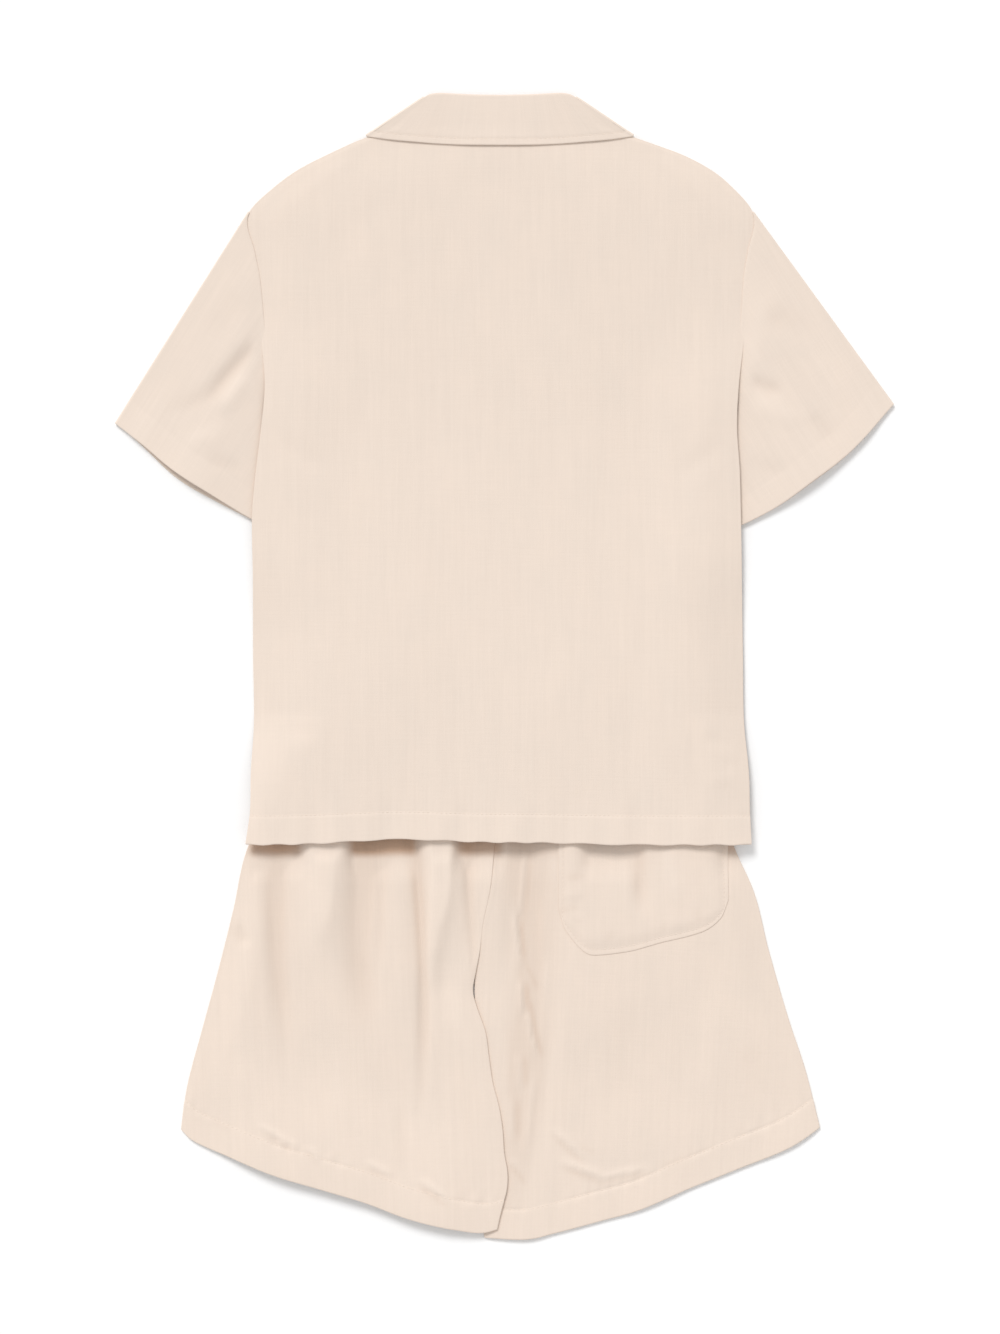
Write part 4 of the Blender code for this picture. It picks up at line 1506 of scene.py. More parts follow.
@dataclass
class Collar:
    """The camp collar: its stand rises from the neck seam, rolls over and lies down as the leaf."""

    finishes: Finishes
    stations: int = 120
    leaf_edge: float = 0.0042
    fold_reach: float = 0.0013
    groove: float = 0.0009
    lift: float = 0.00008

    def profile(self, leaf_length: float) -> tuple[list[tuple[float, float, float, float]], float]:
        """Walk from the seam up the stand, over the fold and down the leaf.

        Args:
            leaf_length: The leaf's depth at the back.

        Returns:
            For each place its share up the stand, its reach past the stand, how far it has turned over and
            its share down the leaf, and then the share of the leaf's stitches.
        """
        places = [(share, 0.0, 0.0, 0.0) for share in np.linspace(0.0, 0.80, 8)]
        for angle in math.pi * np.linspace(0.0, 1.0, 11):
            places.append((1.0, ROLL_RADIUS * (math.sin(angle) - 1), 0.5 - 0.5 * math.cos(angle), 0.0))
        sewn = 1 - self.leaf_edge / leaf_length
        shares = np.concatenate((np.linspace(0.06, 1.0, 16), sewn + np.arange(-2, 3) * 0.018, [0.985]))
        places += [(1.0, 0.0, 1.0, share) for share in np.unique(shares) if share <= 1.0]
        return places, sewn

    def shape(self) -> tuple[Sheet, int]:
        """Shape the collar from one lapel to the other.

        Returns:
            The sheet, and the column of its stitches.
        """
        stand_top = float(back_z(np.array(CENTRE_X), np.array(NECK_Y)))
        stand_low = CLOTH / 2 + COLLAR_WALL + SEAM + 0.0003
        leaf_top, leaf_low = stand_top + 2 * ROLL_RADIUS, COLLAR_WALL / 2
        step = np.linspace(0.0, len(COLLAR) - 1.0, self.stations + 1)
        table = {}
        for name in CollarRow._fields:
            table[name] = Curve(range(len(COLLAR)), [getattr(row, name) for row in COLLAR], True)(step)
        seam, roll, edge = (join(table[f"{word}_x"], table[f"{word}_y"]) for word in ("seam", "roll", "edge"))
        rise, fall = unit(roll - seam), unit(edge - roll)
        from_stand, from_leaf = join(rise[:, 1], -rise[:, 0]), join(-fall[:, 1], fall[:, 0])
        turn = math.pi * table["turn"]
        leaf_length = float(np.linalg.norm(edge[0] - roll[0]))
        places, sewn = self.profile(leaf_length)
        columns, relief, cloth = [], [], []
        for index, (stand, reach, leaf, share) in enumerate(places):
            place = seam + (roll - seam) * stand + rise * reach + (edge - roll) * share
            high = stand_top + (leaf_top - stand_top) * leaf
            low = stand_low + (leaf_low - stand_low) * leaf
            wave = 0.00022 * (1 + np.sin(step * 2.1 + 0.7)) * np.cos(turn / 2)
            rest = back_z(CENTRE_X + place[:, 0], place[:, 1]) + (THIN + THIN_COLLAR) / 2 + self.lift + wave
            high = high + (rest - leaf_top) * share**1.6
            radius = (high - low) / 2
            outward = from_stand + (from_leaf - from_stand) * leaf
            plan = place + outward * (np.minimum(radius, self.fold_reach) * np.sin(turn))[:, None]
            columns.append(join(plan[:, 0], plan[:, 1], (high + low) / 2 + radius * np.cos(turn)))
            groove = 0.0002 * bell(abs(share - sewn) * leaf_length, self.groove) * (leaf == 1.0)
            relief.append(0.00016 * ease(sewn - 0.02, sewn + 0.02, share) - groove + 0 * step)
            cloth.append(join(lengths(edge), 0.0022 * index))
        half, relief, cloth = (np.stack(parts, axis=1) for parts in (columns, relief, cloth))
        sides = []
        for sign in (-1, 1):
            grid = half * np.array((sign, 1.0, 1.0)) + np.array((CENTRE_X, 0.0, 0.0))
            parts = (grid, cloth * np.array((sign, 1.0)), relief)
            sides.append([part[:0:-1] for part in parts] if sign < 0 else parts)
        grid, flat, relief = (np.concatenate(parts) for parts in zip(*sides))
        sheet = Sheet("shirt_collar_cloth", grid, flat, wall=THIN_COLLAR, double=1.0, relief=relief)
        return sheet, int(np.argmin([abs(place[3] - sewn) for place in places]))

    def make(self) -> None:
        """Build the collar and sew its edge."""
        sheet, column = self.shape()
        lay(sheet, self.finishes.shirt, "shirt_collar", (0.33, 0.072))
        Thread().sew("shirt_collar_stitches", [sheet.line(column=column)], self.finishes.thread)


@dataclass
class Lapel:
    """The turned-out top of a front, under it along the roll line."""

    finishes: Finishes
    side: Side
    start: float

    def make(self) -> None:
        """Build the lapel."""
        down, share = np.linspace(0, 1, 34)[:, None], np.linspace(0, 1, 30)[None, :]
        roll_y = self.start + (GORGE_Y - 0.0015 - self.start) * down
        roll_x = roll_line(roll_y)
        out_x = LAPEL_TIP[0] + (LAPEL_NOTCH[0] - LAPEL_TIP[0]) * down
        out_y = LAPEL_TIP[1] + (LAPEL_NOTCH[1] - LAPEL_TIP[1]) * down
        x = CENTRE_X + self.side.value * (roll_x + (out_x - roll_x) * share)
        y = roll_y + (out_y - roll_y) * share
        points = join(x, y, COLLAR_WALL / 2)
        if self.side is Side.LEFT:
            points = points[:, ::-1]
        name = f"shirt_lapel_{self.side.word}"
        sheet = Sheet(f"{name}_cloth", points, points[..., :2], wall=THIN_COLLAR)
        lay(sheet, self.finishes.shirt, name, (0.072, 0.075))


class Turned(NamedTuple):
    """A ring of the button's outline, as shares of its radius and of its thickness."""

    radius: float
    depth: float


# From the edge of the dished face round the rim to the flat back.
BUTTON_RINGS = (
    Turned(0.42, 0.22),
    Turned(0.56, 0.18),
    Turned(0.66, 0.06),
    Turned(0.74, 0.0),
    Turned(0.88, 0.0),
    Turned(0.96, 0.08),
    Turned(1.0, 0.24),
    Turned(1.0, 0.62),
    Turned(0.97, 0.82),
    Turned(0.88, 0.96),
    Turned(0.74, 1.0),
)


@dataclass
class Button:
    """A turned four-hole button with a rim, sewn on with crossed thread."""

    finishes: Finishes
    index: int
    turns: int = 56
    hole_ring: float = 0.0019
    drill_sides: int = 20
    drill_depth: float = 0.008
    sharp_angle: float = 40.0
    thread_clear: float = 0.0001

    @property
    def y(self) -> float:
        """Give the button's place along the placket."""
        return TOP_BUTTON_Y - BUTTON_PITCH * self.index

    def height(self) -> float:
        """Find the button's upper face, just under the outer front."""
        places = np.array((self.y - BUTTON_RADIUS, self.y, self.y + BUTTON_RADIUS))
        return float(front_z(np.full(3, CENTRE_X), places).min()) - CLOTH / 2 - SEAM

    def blank(self, top: float) -> bpy.types.Object:
        """Turn the button without its holes.

        Args:
            top: The height of its upper face.

        Returns:
            The blank.
        """
        ring = 2 * math.pi * np.arange(self.turns) / self.turns
        verts, faces = [], []
        for radius, depth in BUTTON_RINGS:
            height = top - BUTTON_WALL + BUTTON_WALL * depth
            reach = BUTTON_RADIUS * radius
            places = join(CENTRE_X + reach * np.cos(ring), self.y + reach * np.sin(ring), height)
            verts += [tuple(place) for place in places]
        for level in range(len(BUTTON_RINGS) - 1):
            for k in range(self.turns):
                a, b = level * self.turns + k, level * self.turns + (k + 1) % self.turns
                faces.append((a, b, b + self.turns, a + self.turns))
        faces.append(tuple(range(self.turns))[::-1])
        faces.append(tuple(len(verts) - self.turns + k for k in range(self.turns)))
        mesh = bpy.data.meshes.new("button_blank")
        mesh.from_pydata(verts, [], faces)
        mesh.shade_smooth()
        blank = bpy.data.objects.new("button_blank", mesh)
        bpy.context.scene.collection.objects.link(blank)
        return blank

    def drill(self, blank: bpy.types.Object, top: float) -> bpy.types.Mesh:
        """Drill the four holes.

        Args:
            blank: The button without its holes, which is used up.
            top: The height of its upper face.

        Returns:
            The drilled mesh.
        """
        drills = []
        for quarter in range(4):
            angle = math.pi / 4 + quarter * math.pi / 2
            across, along = self.hole_ring * math.cos(angle), self.hole_ring * math.sin(angle)
            bpy.ops.mesh.primitive_cylinder_add(
                vertices=self.drill_sides,
                radius=BUTTON_HOLE,
                depth=self.drill_depth,
                location=(CENTRE_X + across, self.y + along, top),
            )
            drills.append(bpy.context.object)
            blank.modifiers.new("hole", "BOOLEAN").object = drills[-1]
        graph = bpy.context.evaluated_depsgraph_get()
        done = bpy.data.meshes.new_from_object(blank.evaluated_get(graph))
        for old in (*drills, blank):
            bpy.data.objects.remove(old)
        return done

    def make(self) -> None:
        """Turn the button, drill its holes and sew it on."""
        top = self.height()
        done = self.drill(self.blank(top), top)
        done.materials.clear()
        done.materials.append(self.finishes.horn)
        done.set_sharp_from_angle(angle=math.radians(self.sharp_angle))
        name = f"shirt_button_{self.index + 1}"
        piece = bpy.data.objects.new(f"{name}_turned", done)
        bpy.context.scene.collection.objects.link(piece)
        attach(piece, "root")
        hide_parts(name)
        self.sew_on(name, top)

    def sew_on(self, name: str, top: float) -> None:
        """Cross the thread between the holes, on the button's outward face.

        Args:
            name: The button's name.
            top: The height of its upper face.
        """
        low = top - BUTTON_WALL + BUTTON_RINGS[0].depth * BUTTON_WALL - self.thread_clear
        runs = []
        for turn in (math.pi / 4, 3 * math.pi / 4):
            arm = self.hole_ring * np.array((math.cos(turn), math.sin(turn), 0.0))
            path = np.array((CENTRE_X, self.y, low)) + arm * np.linspace(-1, 1, 5)[:, None]
            runs.append((path, np.tile((0.0, 0.0, -1.0), (5, 1))))
        Thread(length=0.0036, gap=0.0002, half=0.0003).sew(f"{name}_thread", runs, self.finishes.thread)


LEFT_LEG_CREASES = (
    Fold(-0.0690, -0.1250, -0.0628, -0.3300, -0.0040, 0.0040),
    Fold(-0.0780, -0.3380, -0.0775, -0.3880, -0.0013, 0.0040),
    Fold(-0.2060, -0.1960, -0.1960, -0.2120, -0.0014, 0.0050),
    Fold(-0.1668, -0.1300, -0.1680, -0.2950, -0.0034, 0.0075),
    Fold(-0.1010, -0.1250, -0.1050, -0.2800, -0.0034, 0.0110),
    Fold(-0.0900, -0.1500, -0.0960, -0.2300, -0.0012, 0.0035),
    Fold(-0.1387, -0.1250, -0.1400, -0.2150, 0.0026, 0.0095),
    Fold(-0.0500, -0.1250, -0.0500, -0.2500, 0.0028, 0.0085),
    Fold(-0.0270, -0.1250, -0.0215, -0.2550, -0.0022, 0.0032),
    Fold(-0.0400, -0.2000, -0.0330, -0.2800, 0.0014, 0.0050),
    Fold(-0.1300, -0.2900, -0.1240, -0.3500, 0.0006, 0.0110),
    Fold(-0.2020, -0.2600, -0.1960, -0.3300, 0.0006, 0.0120),
    Fold(-0.0300, -0.2900, -0.0260, -0.3700, -0.0007, 0.0080),
)
RIGHT_LEG_CREASES = (
    Fold(0.0120, -0.1250, 0.0200, -0.3600, -0.0040, 0.0130),
    Fold(-0.0005, -0.1250, 0.0050, -0.4050, -0.0024, 0.0105),
    Fold(0.0140, -0.2400, 0.0140, -0.4200, -0.0030, 0.0110),
    Fold(0.0055, -0.1700, 0.0090, -0.2700, 0.0014, 0.0040),
    Fold(0.0310, -0.1700, 0.0330, -0.2700, 0.0016, 0.0050),
    Fold(0.0020, -0.2650, 0.0060, -0.3400, -0.0012, 0.0045),
    Fold(0.1022, -0.1300, 0.1055, -0.1850, -0.0030, 0.0050),
    Fold(0.1250, -0.1350, 0.1290, -0.1800, 0.0012, 0.0070),
    Fold(0.1500, -0.2500, 0.1560, -0.3300, 0.0005, 0.0130),
    Fold(0.0900, -0.2600, 0.0930, -0.3400, -0.0005, 0.0120),
    Fold(0.1880, -0.2900, 0.1960, -0.3300, -0.0005, 0.0090),
)
# Small crumples: a ridge stands on the cloth and gets a little painted light, and a trough is no hollow but
# painted shade along the line beside it.
LEFT_CRUMPLES = (
    Fold(-0.1860, -0.3480, -0.1560, -0.3640, 0.0010, 0.0028),
    Fold(-0.1850, -0.3530, -0.1570, -0.3680, -0.0014, 0.0022),
    Fold(-0.1490, -0.3640, -0.1390, -0.3750, 0.0008, 0.0026),
    Fold(-0.1500, -0.3680, -0.1400, -0.3780, -0.0010, 0.0020),
    Fold(-0.1040, -0.3750, -0.0860, -0.3850, 0.0010, 0.0028),
    Fold(-0.1050, -0.3800, -0.0870, -0.3890, -0.0014, 0.0022),
    Fold(-0.0640, -0.3890, -0.0420, -0.4040, 0.0012, 0.0028),
    Fold(-0.0650, -0.3940, -0.0430, -0.4090, -0.0022, 0.0022),
    Fold(-0.2230, -0.3440, -0.2060, -0.3520, -0.0009, 0.0022),
)
RIGHT_CRUMPLES = (
    Fold(0.0150, -0.1400, 0.0120, -0.1950, 0.0012, 0.0026),
    Fold(0.0190, -0.1400, 0.0160, -0.1980, -0.0014, 0.0024),
    Fold(0.0075, -0.1880, 0.0118, -0.2260, 0.0015, 0.0023),
    Fold(0.0115, -0.1900, 0.0158, -0.2270, -0.0026, 0.0021),
    Fold(0.0120, -0.2210, 0.0225, -0.2410, 0.0014, 0.0022),
    Fold(0.0150, -0.2250, 0.0255, -0.2450, -0.0026, 0.0021),
    Fold(0.0118, -0.2400, 0.0135, -0.2650, 0.0017, 0.0024),
    Fold(0.0160, -0.2400, 0.0178, -0.2650, -0.0034, 0.0026),
    Fold(0.0152, -0.2530, 0.0206, -0.2790, 0.0015, 0.0022),
    Fold(0.0190, -0.2540, 0.0244, -0.2800, -0.0030, 0.0021),
    Fold(0.0192, -0.2750, 0.0252, -0.2960, 0.0014, 0.0022),
    Fold(0.0228, -0.2760, 0.0288, -0.2970, -0.0026, 0.0021),
    Fold(0.0105, -0.2950, 0.0125, -0.3200, 0.0011, 0.0026),
    Fold(0.0145, -0.2950, 0.0165, -0.3200, -0.0020, 0.0026),
    Fold(0.0040, -0.3280, 0.0050, -0.3600, 0.0011, 0.0030),
    Fold(0.0090, -0.3280, 0.0098, -0.3600, -0.0022, 0.0032),
    Fold(0.0040, -0.3740, 0.0150, -0.3880, 0.0010, 0.0024),
    Fold(0.0050, -0.3790, 0.0165, -0.3930, -0.0022, 0.0022),
    Fold(0.0310, -0.2250, 0.0320, -0.2900, 0.0012, 0.0036),
    Fold(0.0210, -0.3100, 0.0180, -0.3700, 0.0010, 0.0030),
    Fold(0.0380, -0.3520, 0.0600, -0.3720, 0.0011, 0.0028),
    Fold(0.0370, -0.3560, 0.0600, -0.3770, -0.0024, 0.0021),
    Fold(0.0440, -0.3750, 0.0760, -0.3880, 0.0012, 0.0028),
    Fold(0.0440, -0.3800, 0.0770, -0.3930, -0.0024, 0.0022),
    Fold(0.0560, -0.3640, 0.0700, -0.3700, -0.0012, 0.0020),
    Fold(0.0720, -0.3890, 0.1080, -0.3810, 0.0009, 0.0026),
    Fold(0.0720, -0.3930, 0.1100, -0.3850, -0.0016, 0.0022),
    Fold(0.1180, -0.3790, 0.1400, -0.3720, -0.0012, 0.0020),
)
POCKET_CREASES = (
    Fold(0.0460, -0.1600, 0.0620, -0.1590, -0.0011, 0.0022),
    Fold(0.0540, -0.1620, 0.0580, -0.1480, -0.0006, 0.0020),
    Fold(0.0400, -0.1860, 0.0560, -0.1815, -0.0011, 0.0022),
    Fold(0.0440, -0.1740, 0.0600, -0.1710, 0.0006, 0.0026),
    Fold(0.0490, -0.1900, 0.0600, -0.1905, 0.0005, 0.0024),
    Fold(0.0760, -0.2080, 0.0840, -0.2010, -0.0006, 0.0026),
    Fold(0.1180, -0.2020, 0.1220, -0.1940, -0.0004, 0.0026),
    Fold(0.1480, -0.1940, 0.1450, -0.1840, -0.0005, 0.0028),
)


class LegPlan(NamedTuple):
    """One leg's edges, and the creases of its back."""

    side: Sequence[Edge]
    inner: Sequence[Edge]
    hem: Sequence[Spot]
    creases: Sequence[Fold]
    crumples: Sequence[Fold]


LEGS = {
    Side.LEFT: LegPlan(LEFT_SIDE, LEFT_INNER, LEFT_HEM, LEFT_LEG_CREASES, LEFT_CRUMPLES),
    Side.RIGHT: LegPlan(RIGHT_SIDE, RIGHT_INNER, RIGHT_HEM, RIGHT_LEG_CREASES, RIGHT_CRUMPLES),
}


class Hollow(NamedTuple):
    """A place across the shorts where they fall away under the shirt's hem."""

    x: float
    half: float
    depth: float

    def share(self, x: np.ndarray) -> np.ndarray:
        """Tell how much of the hollow lies at places across the shorts."""
        return bell(np.maximum(0.0, np.abs(x - self.x) - self.half), HOLLOW_EDGE)


HOLLOW_EDGE = 0.0060
# The hollow depth at which the painted shade under the shirt's hem is full.
HOLLOW_FULL_SHADE = 0.0046
HEM_HOLLOWS = (
    Hollow(-0.1739, 0.0150, 0.0042),
    Hollow(-0.0925, 0.0200, 0.0048),
    Hollow(-0.0194, 0.0130, 0.0040),
    Hollow(0.0210, 0.0160, 0.0012),
    Hollow(0.0801, 0.0150, 0.0044),
    Hollow(0.1740, 0.0060, 0.0030),
)


def painted_hollow_shade(x: np.ndarray) -> np.ndarray:
    """Tell how much painted shade the hollows under the shirt's hem get at places across the shorts."""
    return np.max([hollow.share(x) * hollow.depth / HOLLOW_FULL_SHADE for hollow in HEM_HOLLOWS], axis=0)


def soft_floor(height: np.ndarray, softness: float | np.ndarray) -> np.ndarray:
    """Keep a height above 0 without a sharp bend."""
    ratio = np.clip(height / softness, -60, 60)
    return np.where(ratio > 30, height, softness * np.log1p(np.exp(np.minimum(ratio, 30))))


def leg_front_z(x: np.ndarray, y: np.ndarray, side: Side) -> np.ndarray:
    """Give the middle of a leg's front. The left leg climbs on the right one along its inner edge.

    Args:
        x: Places across.
        y: Places along.
        side: Which leg.

    Returns:
        The height at each place.
    """
    if side is Side.RIGHT:
        return CLOTH / 2 + 0 * x
    beside = INNER_RIGHT(y)
    step = LEG_STEP * ease(*STEP_START, y) * ease(beside - 0.034, beside - 0.004, x)
    down = hem_of_leg(LEFT_HEM, x)
    lift = HEM_LIFT * (1 - ease(0.0, 0.100, y - down)) * ease(*HEM_LIFT_START, x)
    lift = lift * (1 - 0.65 * ease(-0.045, -0.008, x))
    return CLOTH / 2 + np.maximum(step, lift) + 0.3 * np.minimum(step, lift)


def leg_back_z(x: np.ndarray, y: np.ndarray, side: Side, detail: float = 1.0) -> np.ndarray:
    """Give the middle of a leg's back: on the front at its seams, and lofted by the gathers.

    Args:
        x: Places across.
        y: Places along.
        side: Which leg.
        detail: How much of the small creases to add.

    Returns:
        The height at each place.
    """
    leg = LEGS[side]
    from_side = np.abs(x - curve(leg.side, "x")(y))
    from_inner = np.abs(x - curve(leg.inner, "x")(y))
    loft = GATHER_LOFT * ease(*GATHERS_END, y) + fold_height(WAIST_FOLDS, x, y)
    loft = loft + (BAND_WALL + SEAM + 0.0004 - loft) * ease(GATHER_START_Y, BAND_SEAM_Y, y)
    legs = ease(*LEGS_PART, y)
    held = ease(0.0, 0.030, from_side) * (1 - legs * (1 - ease(0.018, 0.048, from_inner)))
    base = held * ease(-0.010, 0.060, y - hem_of_leg(leg.hem, x)) * np.maximum(0.0, loft + SEAM_LOFT)
    shirt_near = ease(*SHIRT_NEAR, y)
    sunk = sum(hollow.depth * hollow.share(x) for hollow in HEM_HOLLOWS)
    base = base - sunk * shirt_near * ease(0.0, 0.012, from_side)
    base = base + BELLY_LOFT * held * ease(*BELLY_END, y) * (1 - ease(*BELLY_START, y))
    near = ease(0.0, 0.014, from_side) * (1 - 0.8 * legs * (1 - ease(0.010, 0.036, from_inner)))
    small = crease_height(leg.creases, x, y)
    small += CREPE * ripple(x, y * 0.55, CREPE_SIZE, 4.1 + side.value)
    low = ease(0.0, 0.030, y - hem_of_leg(leg.hem, x))
    fine = detail * near * small * (0.45 + 0.55 * low) * (1 - ease(GATHER_START_Y, BAND_SEAM_Y, y))
    seam = CLOSED * (1 - ease(0.0, 0.006, np.minimum(from_side, from_inner + 0.02 * (1 - legs))))
    ridges = detail * near * np.maximum(0.0, crease_height(leg.crumples, x, y))
    cloth = soft_floor(base + fine, 0.00030 * near + 0.00001)
    height = leg_front_z(x, y, side) + LAYER - seam + cloth + ridges
    cap = CAP - CAP_DIP * ease(*CAP_EDGE, y)
    return cap - soft_floor(cap - height, CAP_SOFT)


@dataclass
class Leg:
    """One leg of the shorts: its back and its front."""

    finishes: Finishes
    side: Side
    hem_depth: float = 0.0222
    pitch: float = 0.0021
    front_pitch: float = 0.0055
    span: float = 0.235
    reach: float = 0.36
    seam: float = 0.0016
    # The strength of the painted shade in the hollows under the shirt's hem.
    painted_gap_shade: float = 4.0

    def plan(self, pitch: float) -> tuple[np.ndarray, int]:
        """Lay out the leg between its four edges, hem first, with even rows near the hem.

        Args:
            pitch: The grid's usual pitch.

        Returns:
            The places, row by row, and the row of the hem's stitches.
        """
        leg = LEGS[self.side]
        top = BAND_SEAM_Y
        gap = SEAM * 0.7 * self.side.value
        side_x, inner_x = curve(leg.side, "x"), curve(leg.inner, "x")
        share = spread(self.span, pitch, fine=(RIM, self.span - self.seam, self.span - RIM)) / self.span
        down = np.linspace(0.0, 1.0, 121)[:, None]
        side_y = top + (leg.hem[0].y - top) * down
        inner_y = np.interp(down, (0.0, 0.5, 1.0), (top, SEAT_END_Y, leg.hem[-1].y))
        side = np.concatenate((side_x(side_y), side_y), axis=1)[:, None]
        inner = np.concatenate((inner_x(inner_y) + gap, inner_y), axis=1)[:, None]
        s, d = share[None, :, None], down[..., None]
        waist = join(side_x(top) + (inner_x(top) + gap - side_x(top)) * share, top)[None]
        hem = (trace(leg.hem, share) + join(gap * share, 0.0))[None]
        first, last = np.array((leg.hem[0].x, leg.hem[0].y)), np.array((leg.hem[-1].x + gap, leg.hem[-1].y))
        ends = (1 - d) * waist + d * hem
        straight = (1 - d) * waist + d * ((1 - s) * first + s * last)
        grid = (1 - s) * side + s * inner + ends - straight
        near = [0, RIM, 0.002, 0.0045, 0.0075, 0.0110, 0.0145, 0.0175]
        near = np.unique(np.round(np.concatenate((near, self.hem_depth + np.arange(-2, 4) * RIM)), 6))
        rows = []
        for column in range(grid.shape[1]):
            line = grid[::-1, column]
            length = lengths(line)
            count = max(2, round(self.reach / pitch))
            far = near[-1] + (length[-1] - near[-1]) * np.linspace(0, 1, count)[1:]
            at = np.concatenate((near, far))
            rows.append(np.stack([np.interp(at, length, line[:, k]) for k in (0, 1)], -1))
        plan = np.stack(rows, axis=1)
        if self.side is Side.RIGHT:
            plan = plan[:, ::-1]
        return plan, int(np.argmin(np.abs(near - self.hem_depth)))

    def panel(self, name: str, height: Callable, pitch: float, proud: bool) -> tuple[Sheet, int]:
        """Shape one panel of the leg.

        Args:
            name: The piece's name.
            height: Gives the middle of the wall.
            pitch: The grid's usual pitch.
            proud: Whether the hem and the seams show on its upper face.

        Returns:
            The sheet, and the row of its hem's stitches.
        """
        plan, row = self.plan(pitch)
        x, y = plan[..., 0], plan[..., 1]
        steps = np.linalg.norm(np.diff(plan, axis=0), axis=-1)
        down = np.concatenate((np.zeros((1, plan.shape[1])), np.cumsum(steps, axis=0)))
        past = down - self.hem_depth
        double = 1 - ease(-0.0005, 0.0011, past)
        along = x[:1]
        uneven = 1 + 0.8 * np.sin(along * 95 + 2 * np.sin(along * 41))
        relief = 0.00030 * double - 0.00030 * uneven * bell(past, HEM_SEAM)
        pucker = np.sin(along * 560 + 2.5 * np.sin(along * 80)) * uneven
        relief += 0.00022 * pucker * bell(past - 0.0020, 0.0048)
        z = height(x, y, self.side)
        wave = 0.0007 * np.sin(along * 60 + self.side.value) * (1 - ease(0.0, 0.030, down))
        if proud:
            z = z + np.maximum(wave, 0.0)
        leg = LEGS[self.side]
        # The crease mark paints shade in the folds and creases, in the hollows under the shirt's hem and
        # along the crumples' troughs, with a little painted light on ridges; the front gets none.
        deep = -fold_height(WAIST_FOLDS, x, y) * 0.8 - crease_height(leg.creases, x, y)
        fades = ease(-0.43, -0.20, y)
        crease = np.clip(deep / 0.0042, -0.25, 1.0) * (0.6 + 0.4 * fades)
        crease += self.painted_gap_shade * painted_hollow_shade(x) * ease(-0.1475, -0.1385, y)
        crease += np.clip(-crease_height(leg.crumples, x, y) / 0.0026, -0.3, 1.0)
        crease = crease * (1.0 if proud else 0.0)
        inner = np.abs(x - curve(leg.inner, "x")(y))
        relief -= 0.00018 * bell(inner - 0.0045, 0.0011) * ease(0.0, 0.01, down)
        turn = math.radians(2.0 * self.side.value)
        cloth = join(x * math.cos(turn) - y * math.sin(turn), y * math.cos(turn) + x * math.sin(turn))
        relief = relief * (1.0 if proud else 0.0)
        return Sheet(name, join(x, y, z), cloth, double=double, relief=relief, crease=crease), row

    def make(self) -> tuple[np.ndarray, np.ndarray]:
        """Build both panels.

        Returns:
            The points of the back's hem line, and the cloth's normals there.
        """
        back_name, front_name = (f"shorts_{word}_{self.side.word}" for word in ("back", "front"))
        back, row = self.panel(f"{back_name}_cloth", leg_back_z, self.pitch, True)
        lay(back, self.finishes.shorts, back_name, (0.262, 0.405))
        front, _ = self.panel(f"{front_name}_cloth", leg_front_z, self.front_pitch, False)
        lay(front, self.finishes.shorts, front_name, (0.262, 0.405))
        return back.line(row=row)


@dataclass
class Waistband:
    """The elastic waistband, a flattened ring that the elastic ruffles."""

    finishes: Finishes
    gathers: int = 34
    rows: int = 15
    columns: int = 260

    def make(self) -> None:
        """Build the band."""
        left, right = LEFT_SIDE[0].x, RIGHT_SIDE[0].x
        radius, low = (BAND_WALL + SEAM) / 2, BAND_WALL / 2
        share = np.linspace(0.0, 1.0, self.columns)
        angles = np.array((0.2, 0.4, 0.6, 0.8)) * math.pi
        rings = []
        for up in np.linspace(0.0, 1.0, self.rows):
            y = BAND_SEAM_Y + 2 * SEAM + (BAND_TOP_Y - BAND_SEAM_Y) * up
            phase = 2 * math.pi * self.gathers * share + 1.5 * np.sin(share * 23)
            ripples = (0.5 - 0.5 * np.cos(phase)) * (0.65 + 0.35 * np.sin(share * 61))
            upper = low + 2 * radius + 0.0008 * ripples
            x = left + (right - left) * share
            top = join(x, y, upper)
            under = join(x[::-6], y, low)
            ends = low + radius * (1 + np.cos(angles))
            turn = join(right + radius * np.sin(angles), y, ends)
            back = join(left - radius * np.sin(angles), y, ends)
            rings.append(np.concatenate((top, turn, under, back[::-1])))
        grid = np.stack(rings)
        sheet = Sheet("shorts_waistband_cloth", grid, grid[..., :2], wall=BAND_WALL, ring=True)
        finish, node = self.finishes.shorts, "shorts_waistband"
        lay(sheet, finish, node, (0.560, 0.028))


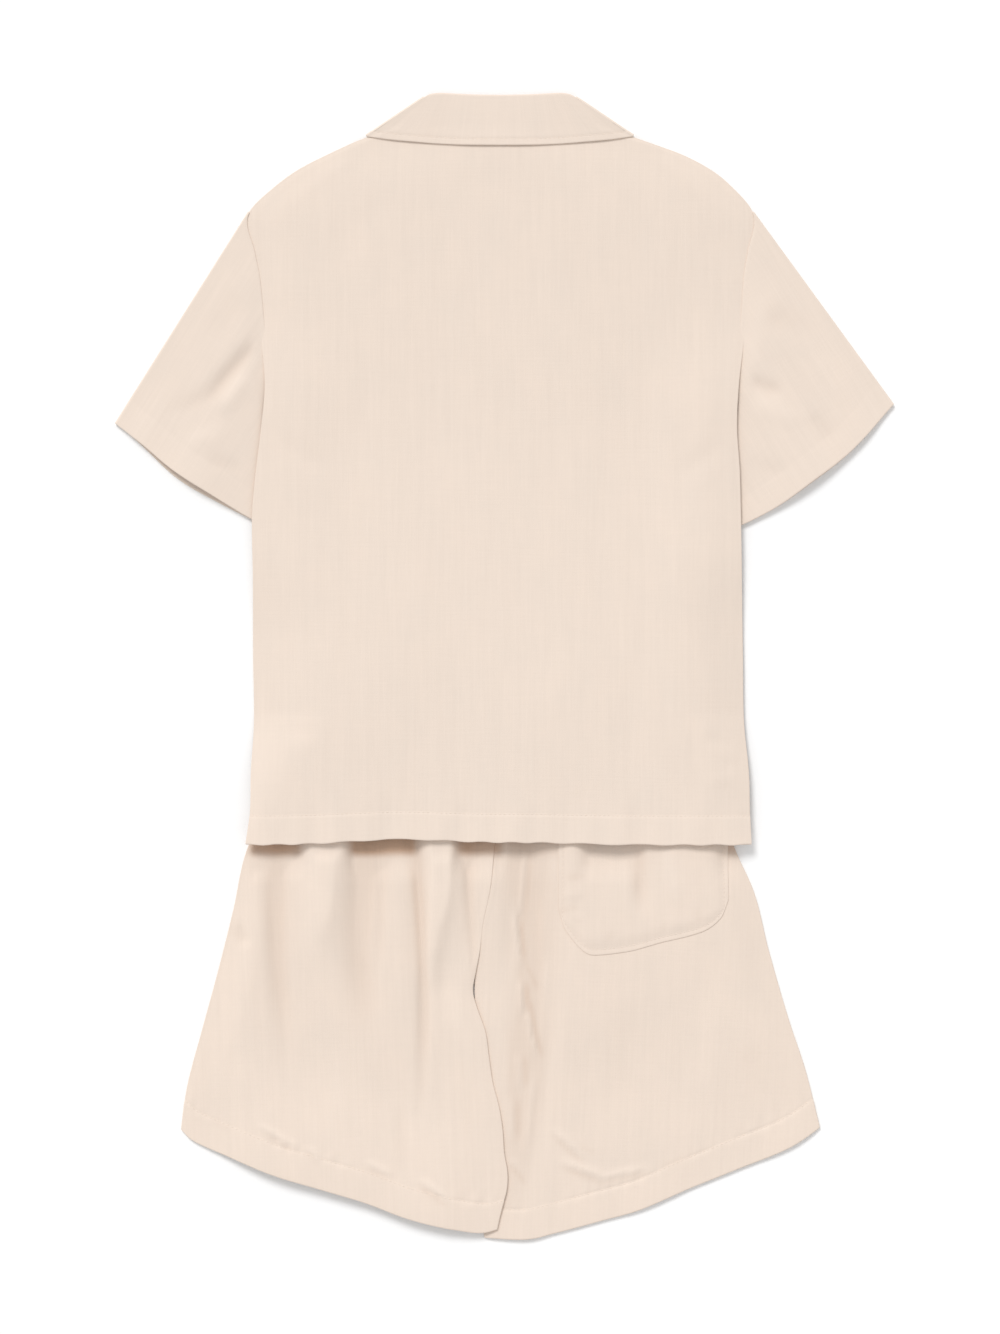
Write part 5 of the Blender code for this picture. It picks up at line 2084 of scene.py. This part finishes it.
@dataclass
class Pocket:
    """The patch pocket on the right back, sewn on close to its edge."""

    finishes: Finishes
    edge: float = 0.0036
    from_side: float = 0.0040
    clear: float = 0.0004
    wall: float = 0.0004
    pitch: float = 0.0026
    across: float = 0.128
    along: float = 0.120
    soft: float = 0.012

    def shape(self, share: np.ndarray, up: np.ndarray) -> Sheet:
        """Shape the pocket on the shorts' back.

        Args:
            share: Shares of the way across, as one row.
            up: Shares of the way up, as one column.

        Returns:
            The pocket's sheet.
        """
        low = trace(POCKET_EDGE, share, True)
        top_x = POCKET_LEFT + (POCKET_RIGHT - POCKET_LEFT) * share
        x = low[..., 0] + (top_x - low[..., 0]) * up
        y = low[..., 1] + (POCKET_TOP_Y - low[..., 1]) * up
        room = (SIDE_RIGHT(y) - self.from_side - POCKET_LEFT) / (x[:, -1:] - POCKET_LEFT)
        x = POCKET_LEFT + (x - POCKET_LEFT) * np.minimum(1.0, room)
        from_ends, from_low = self.across * np.minimum(share, 1 - share), self.along * up
        rim = np.minimum(from_ends, from_low)
        base = leg_back_z(x, y, Side.RIGHT) + (THIN + self.wall) / 2
        base = base + (CLOSED + self.clear) * ease(0.002, self.soft, rim)
        inside = ease(0.0, self.soft, from_ends) * ease(0.0, self.soft, from_low)
        z = base + (0.0003 + 0.0003 * ripple(x, y, 0.017, 6.0) * 0.6) * inside
        puckers = crease_height(POCKET_CREASES, x, y)
        z = z + np.maximum(-0.0001, puckers) * (0.3 + 0.7 * inside)
        double = 1 - ease(self.edge + 0.0006, self.edge + 0.0016, rim)
        relief = 0.00010 * double - 0.00020 * bell(rim - self.edge, 0.0009)
        # The crease mark paints shade in the puckers and along the leg's creases, and a little painted light
        # on ridges.
        deep = np.clip(-puckers / 0.0010, 0.0, 1.0) * 0.6
        deep = deep - crease_height(LEGS[Side.RIGHT].creases, x, y) / 0.0042
        return Sheet(
            "shorts_back_pocket_cloth",
            join(x, y, z),
            join(x, y),
            wall=self.wall,
            double=0.2 * double,
            relief=relief,
            crease=np.clip(deep, -0.25, 1.0),
        )

    def make(self) -> None:
        """Build the pocket and sew it on."""
        share = spread(self.across, self.pitch, fine=(self.edge, self.across - self.edge)) / self.across
        up = spread(self.along, self.pitch, fine=(self.edge,)) / self.along
        sheet = self.shape(share[None, :], up[:, None])
        finish, node = self.finishes.shorts, "shorts_back_pocket"
        lay(sheet, finish, node, (0.132, 0.138))
        column = float(np.interp(self.edge / self.across, share, np.arange(len(share))))
        last = len(share) - 1 - column
        row = float(np.interp(self.edge / self.along, up, np.arange(len(up))))
        start, end = math.ceil(row), (math.ceil(column), math.floor(last) + 1)
        runs = [tuple(part[start:] for part in sheet.line(column=at)) for at in (column, last)]
        runs.append(tuple(part[end[0] : end[1]] for part in sheet.line(row=row)))
        Thread(length=0.0024).sew("shorts_pocket_stitches", runs, self.finishes.thread)


def main() -> None:
    """Dress the whole set."""
    logging.basicConfig(level=logging.INFO, format="%(name)s: %(message)s")
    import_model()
    studio = Studio()
    studio.light()
    studio.camera()
    StudioFloor().make()
    finishes = Finishes()
    ShirtBody(finishes).make()
    Sleeve(finishes, Side.LEFT, LEFT_CUFF, LEFT_SLEEVE_CREASES, peek=0.0042).make()
    Sleeve(finishes, Side.RIGHT, RIGHT_CUFF, RIGHT_SLEEVE_CREASES, peek=0.0008).make()
    Collar(finishes).make()
    Lapel(finishes, Side.LEFT, BREAK_Y).make()
    Lapel(finishes, Side.RIGHT, 0.3505).make()
    for index in range(BUTTON_COUNT):
        Button(finishes, index).make()
    hems = [Leg(finishes, side).make() for side in Side]
    Thread(length=0.0028).sew("shorts_hem_stitches", hems, finishes.thread)
    Waistband(finishes).make()
    Pocket(finishes).make()


if __name__ == "__main__":
    main()
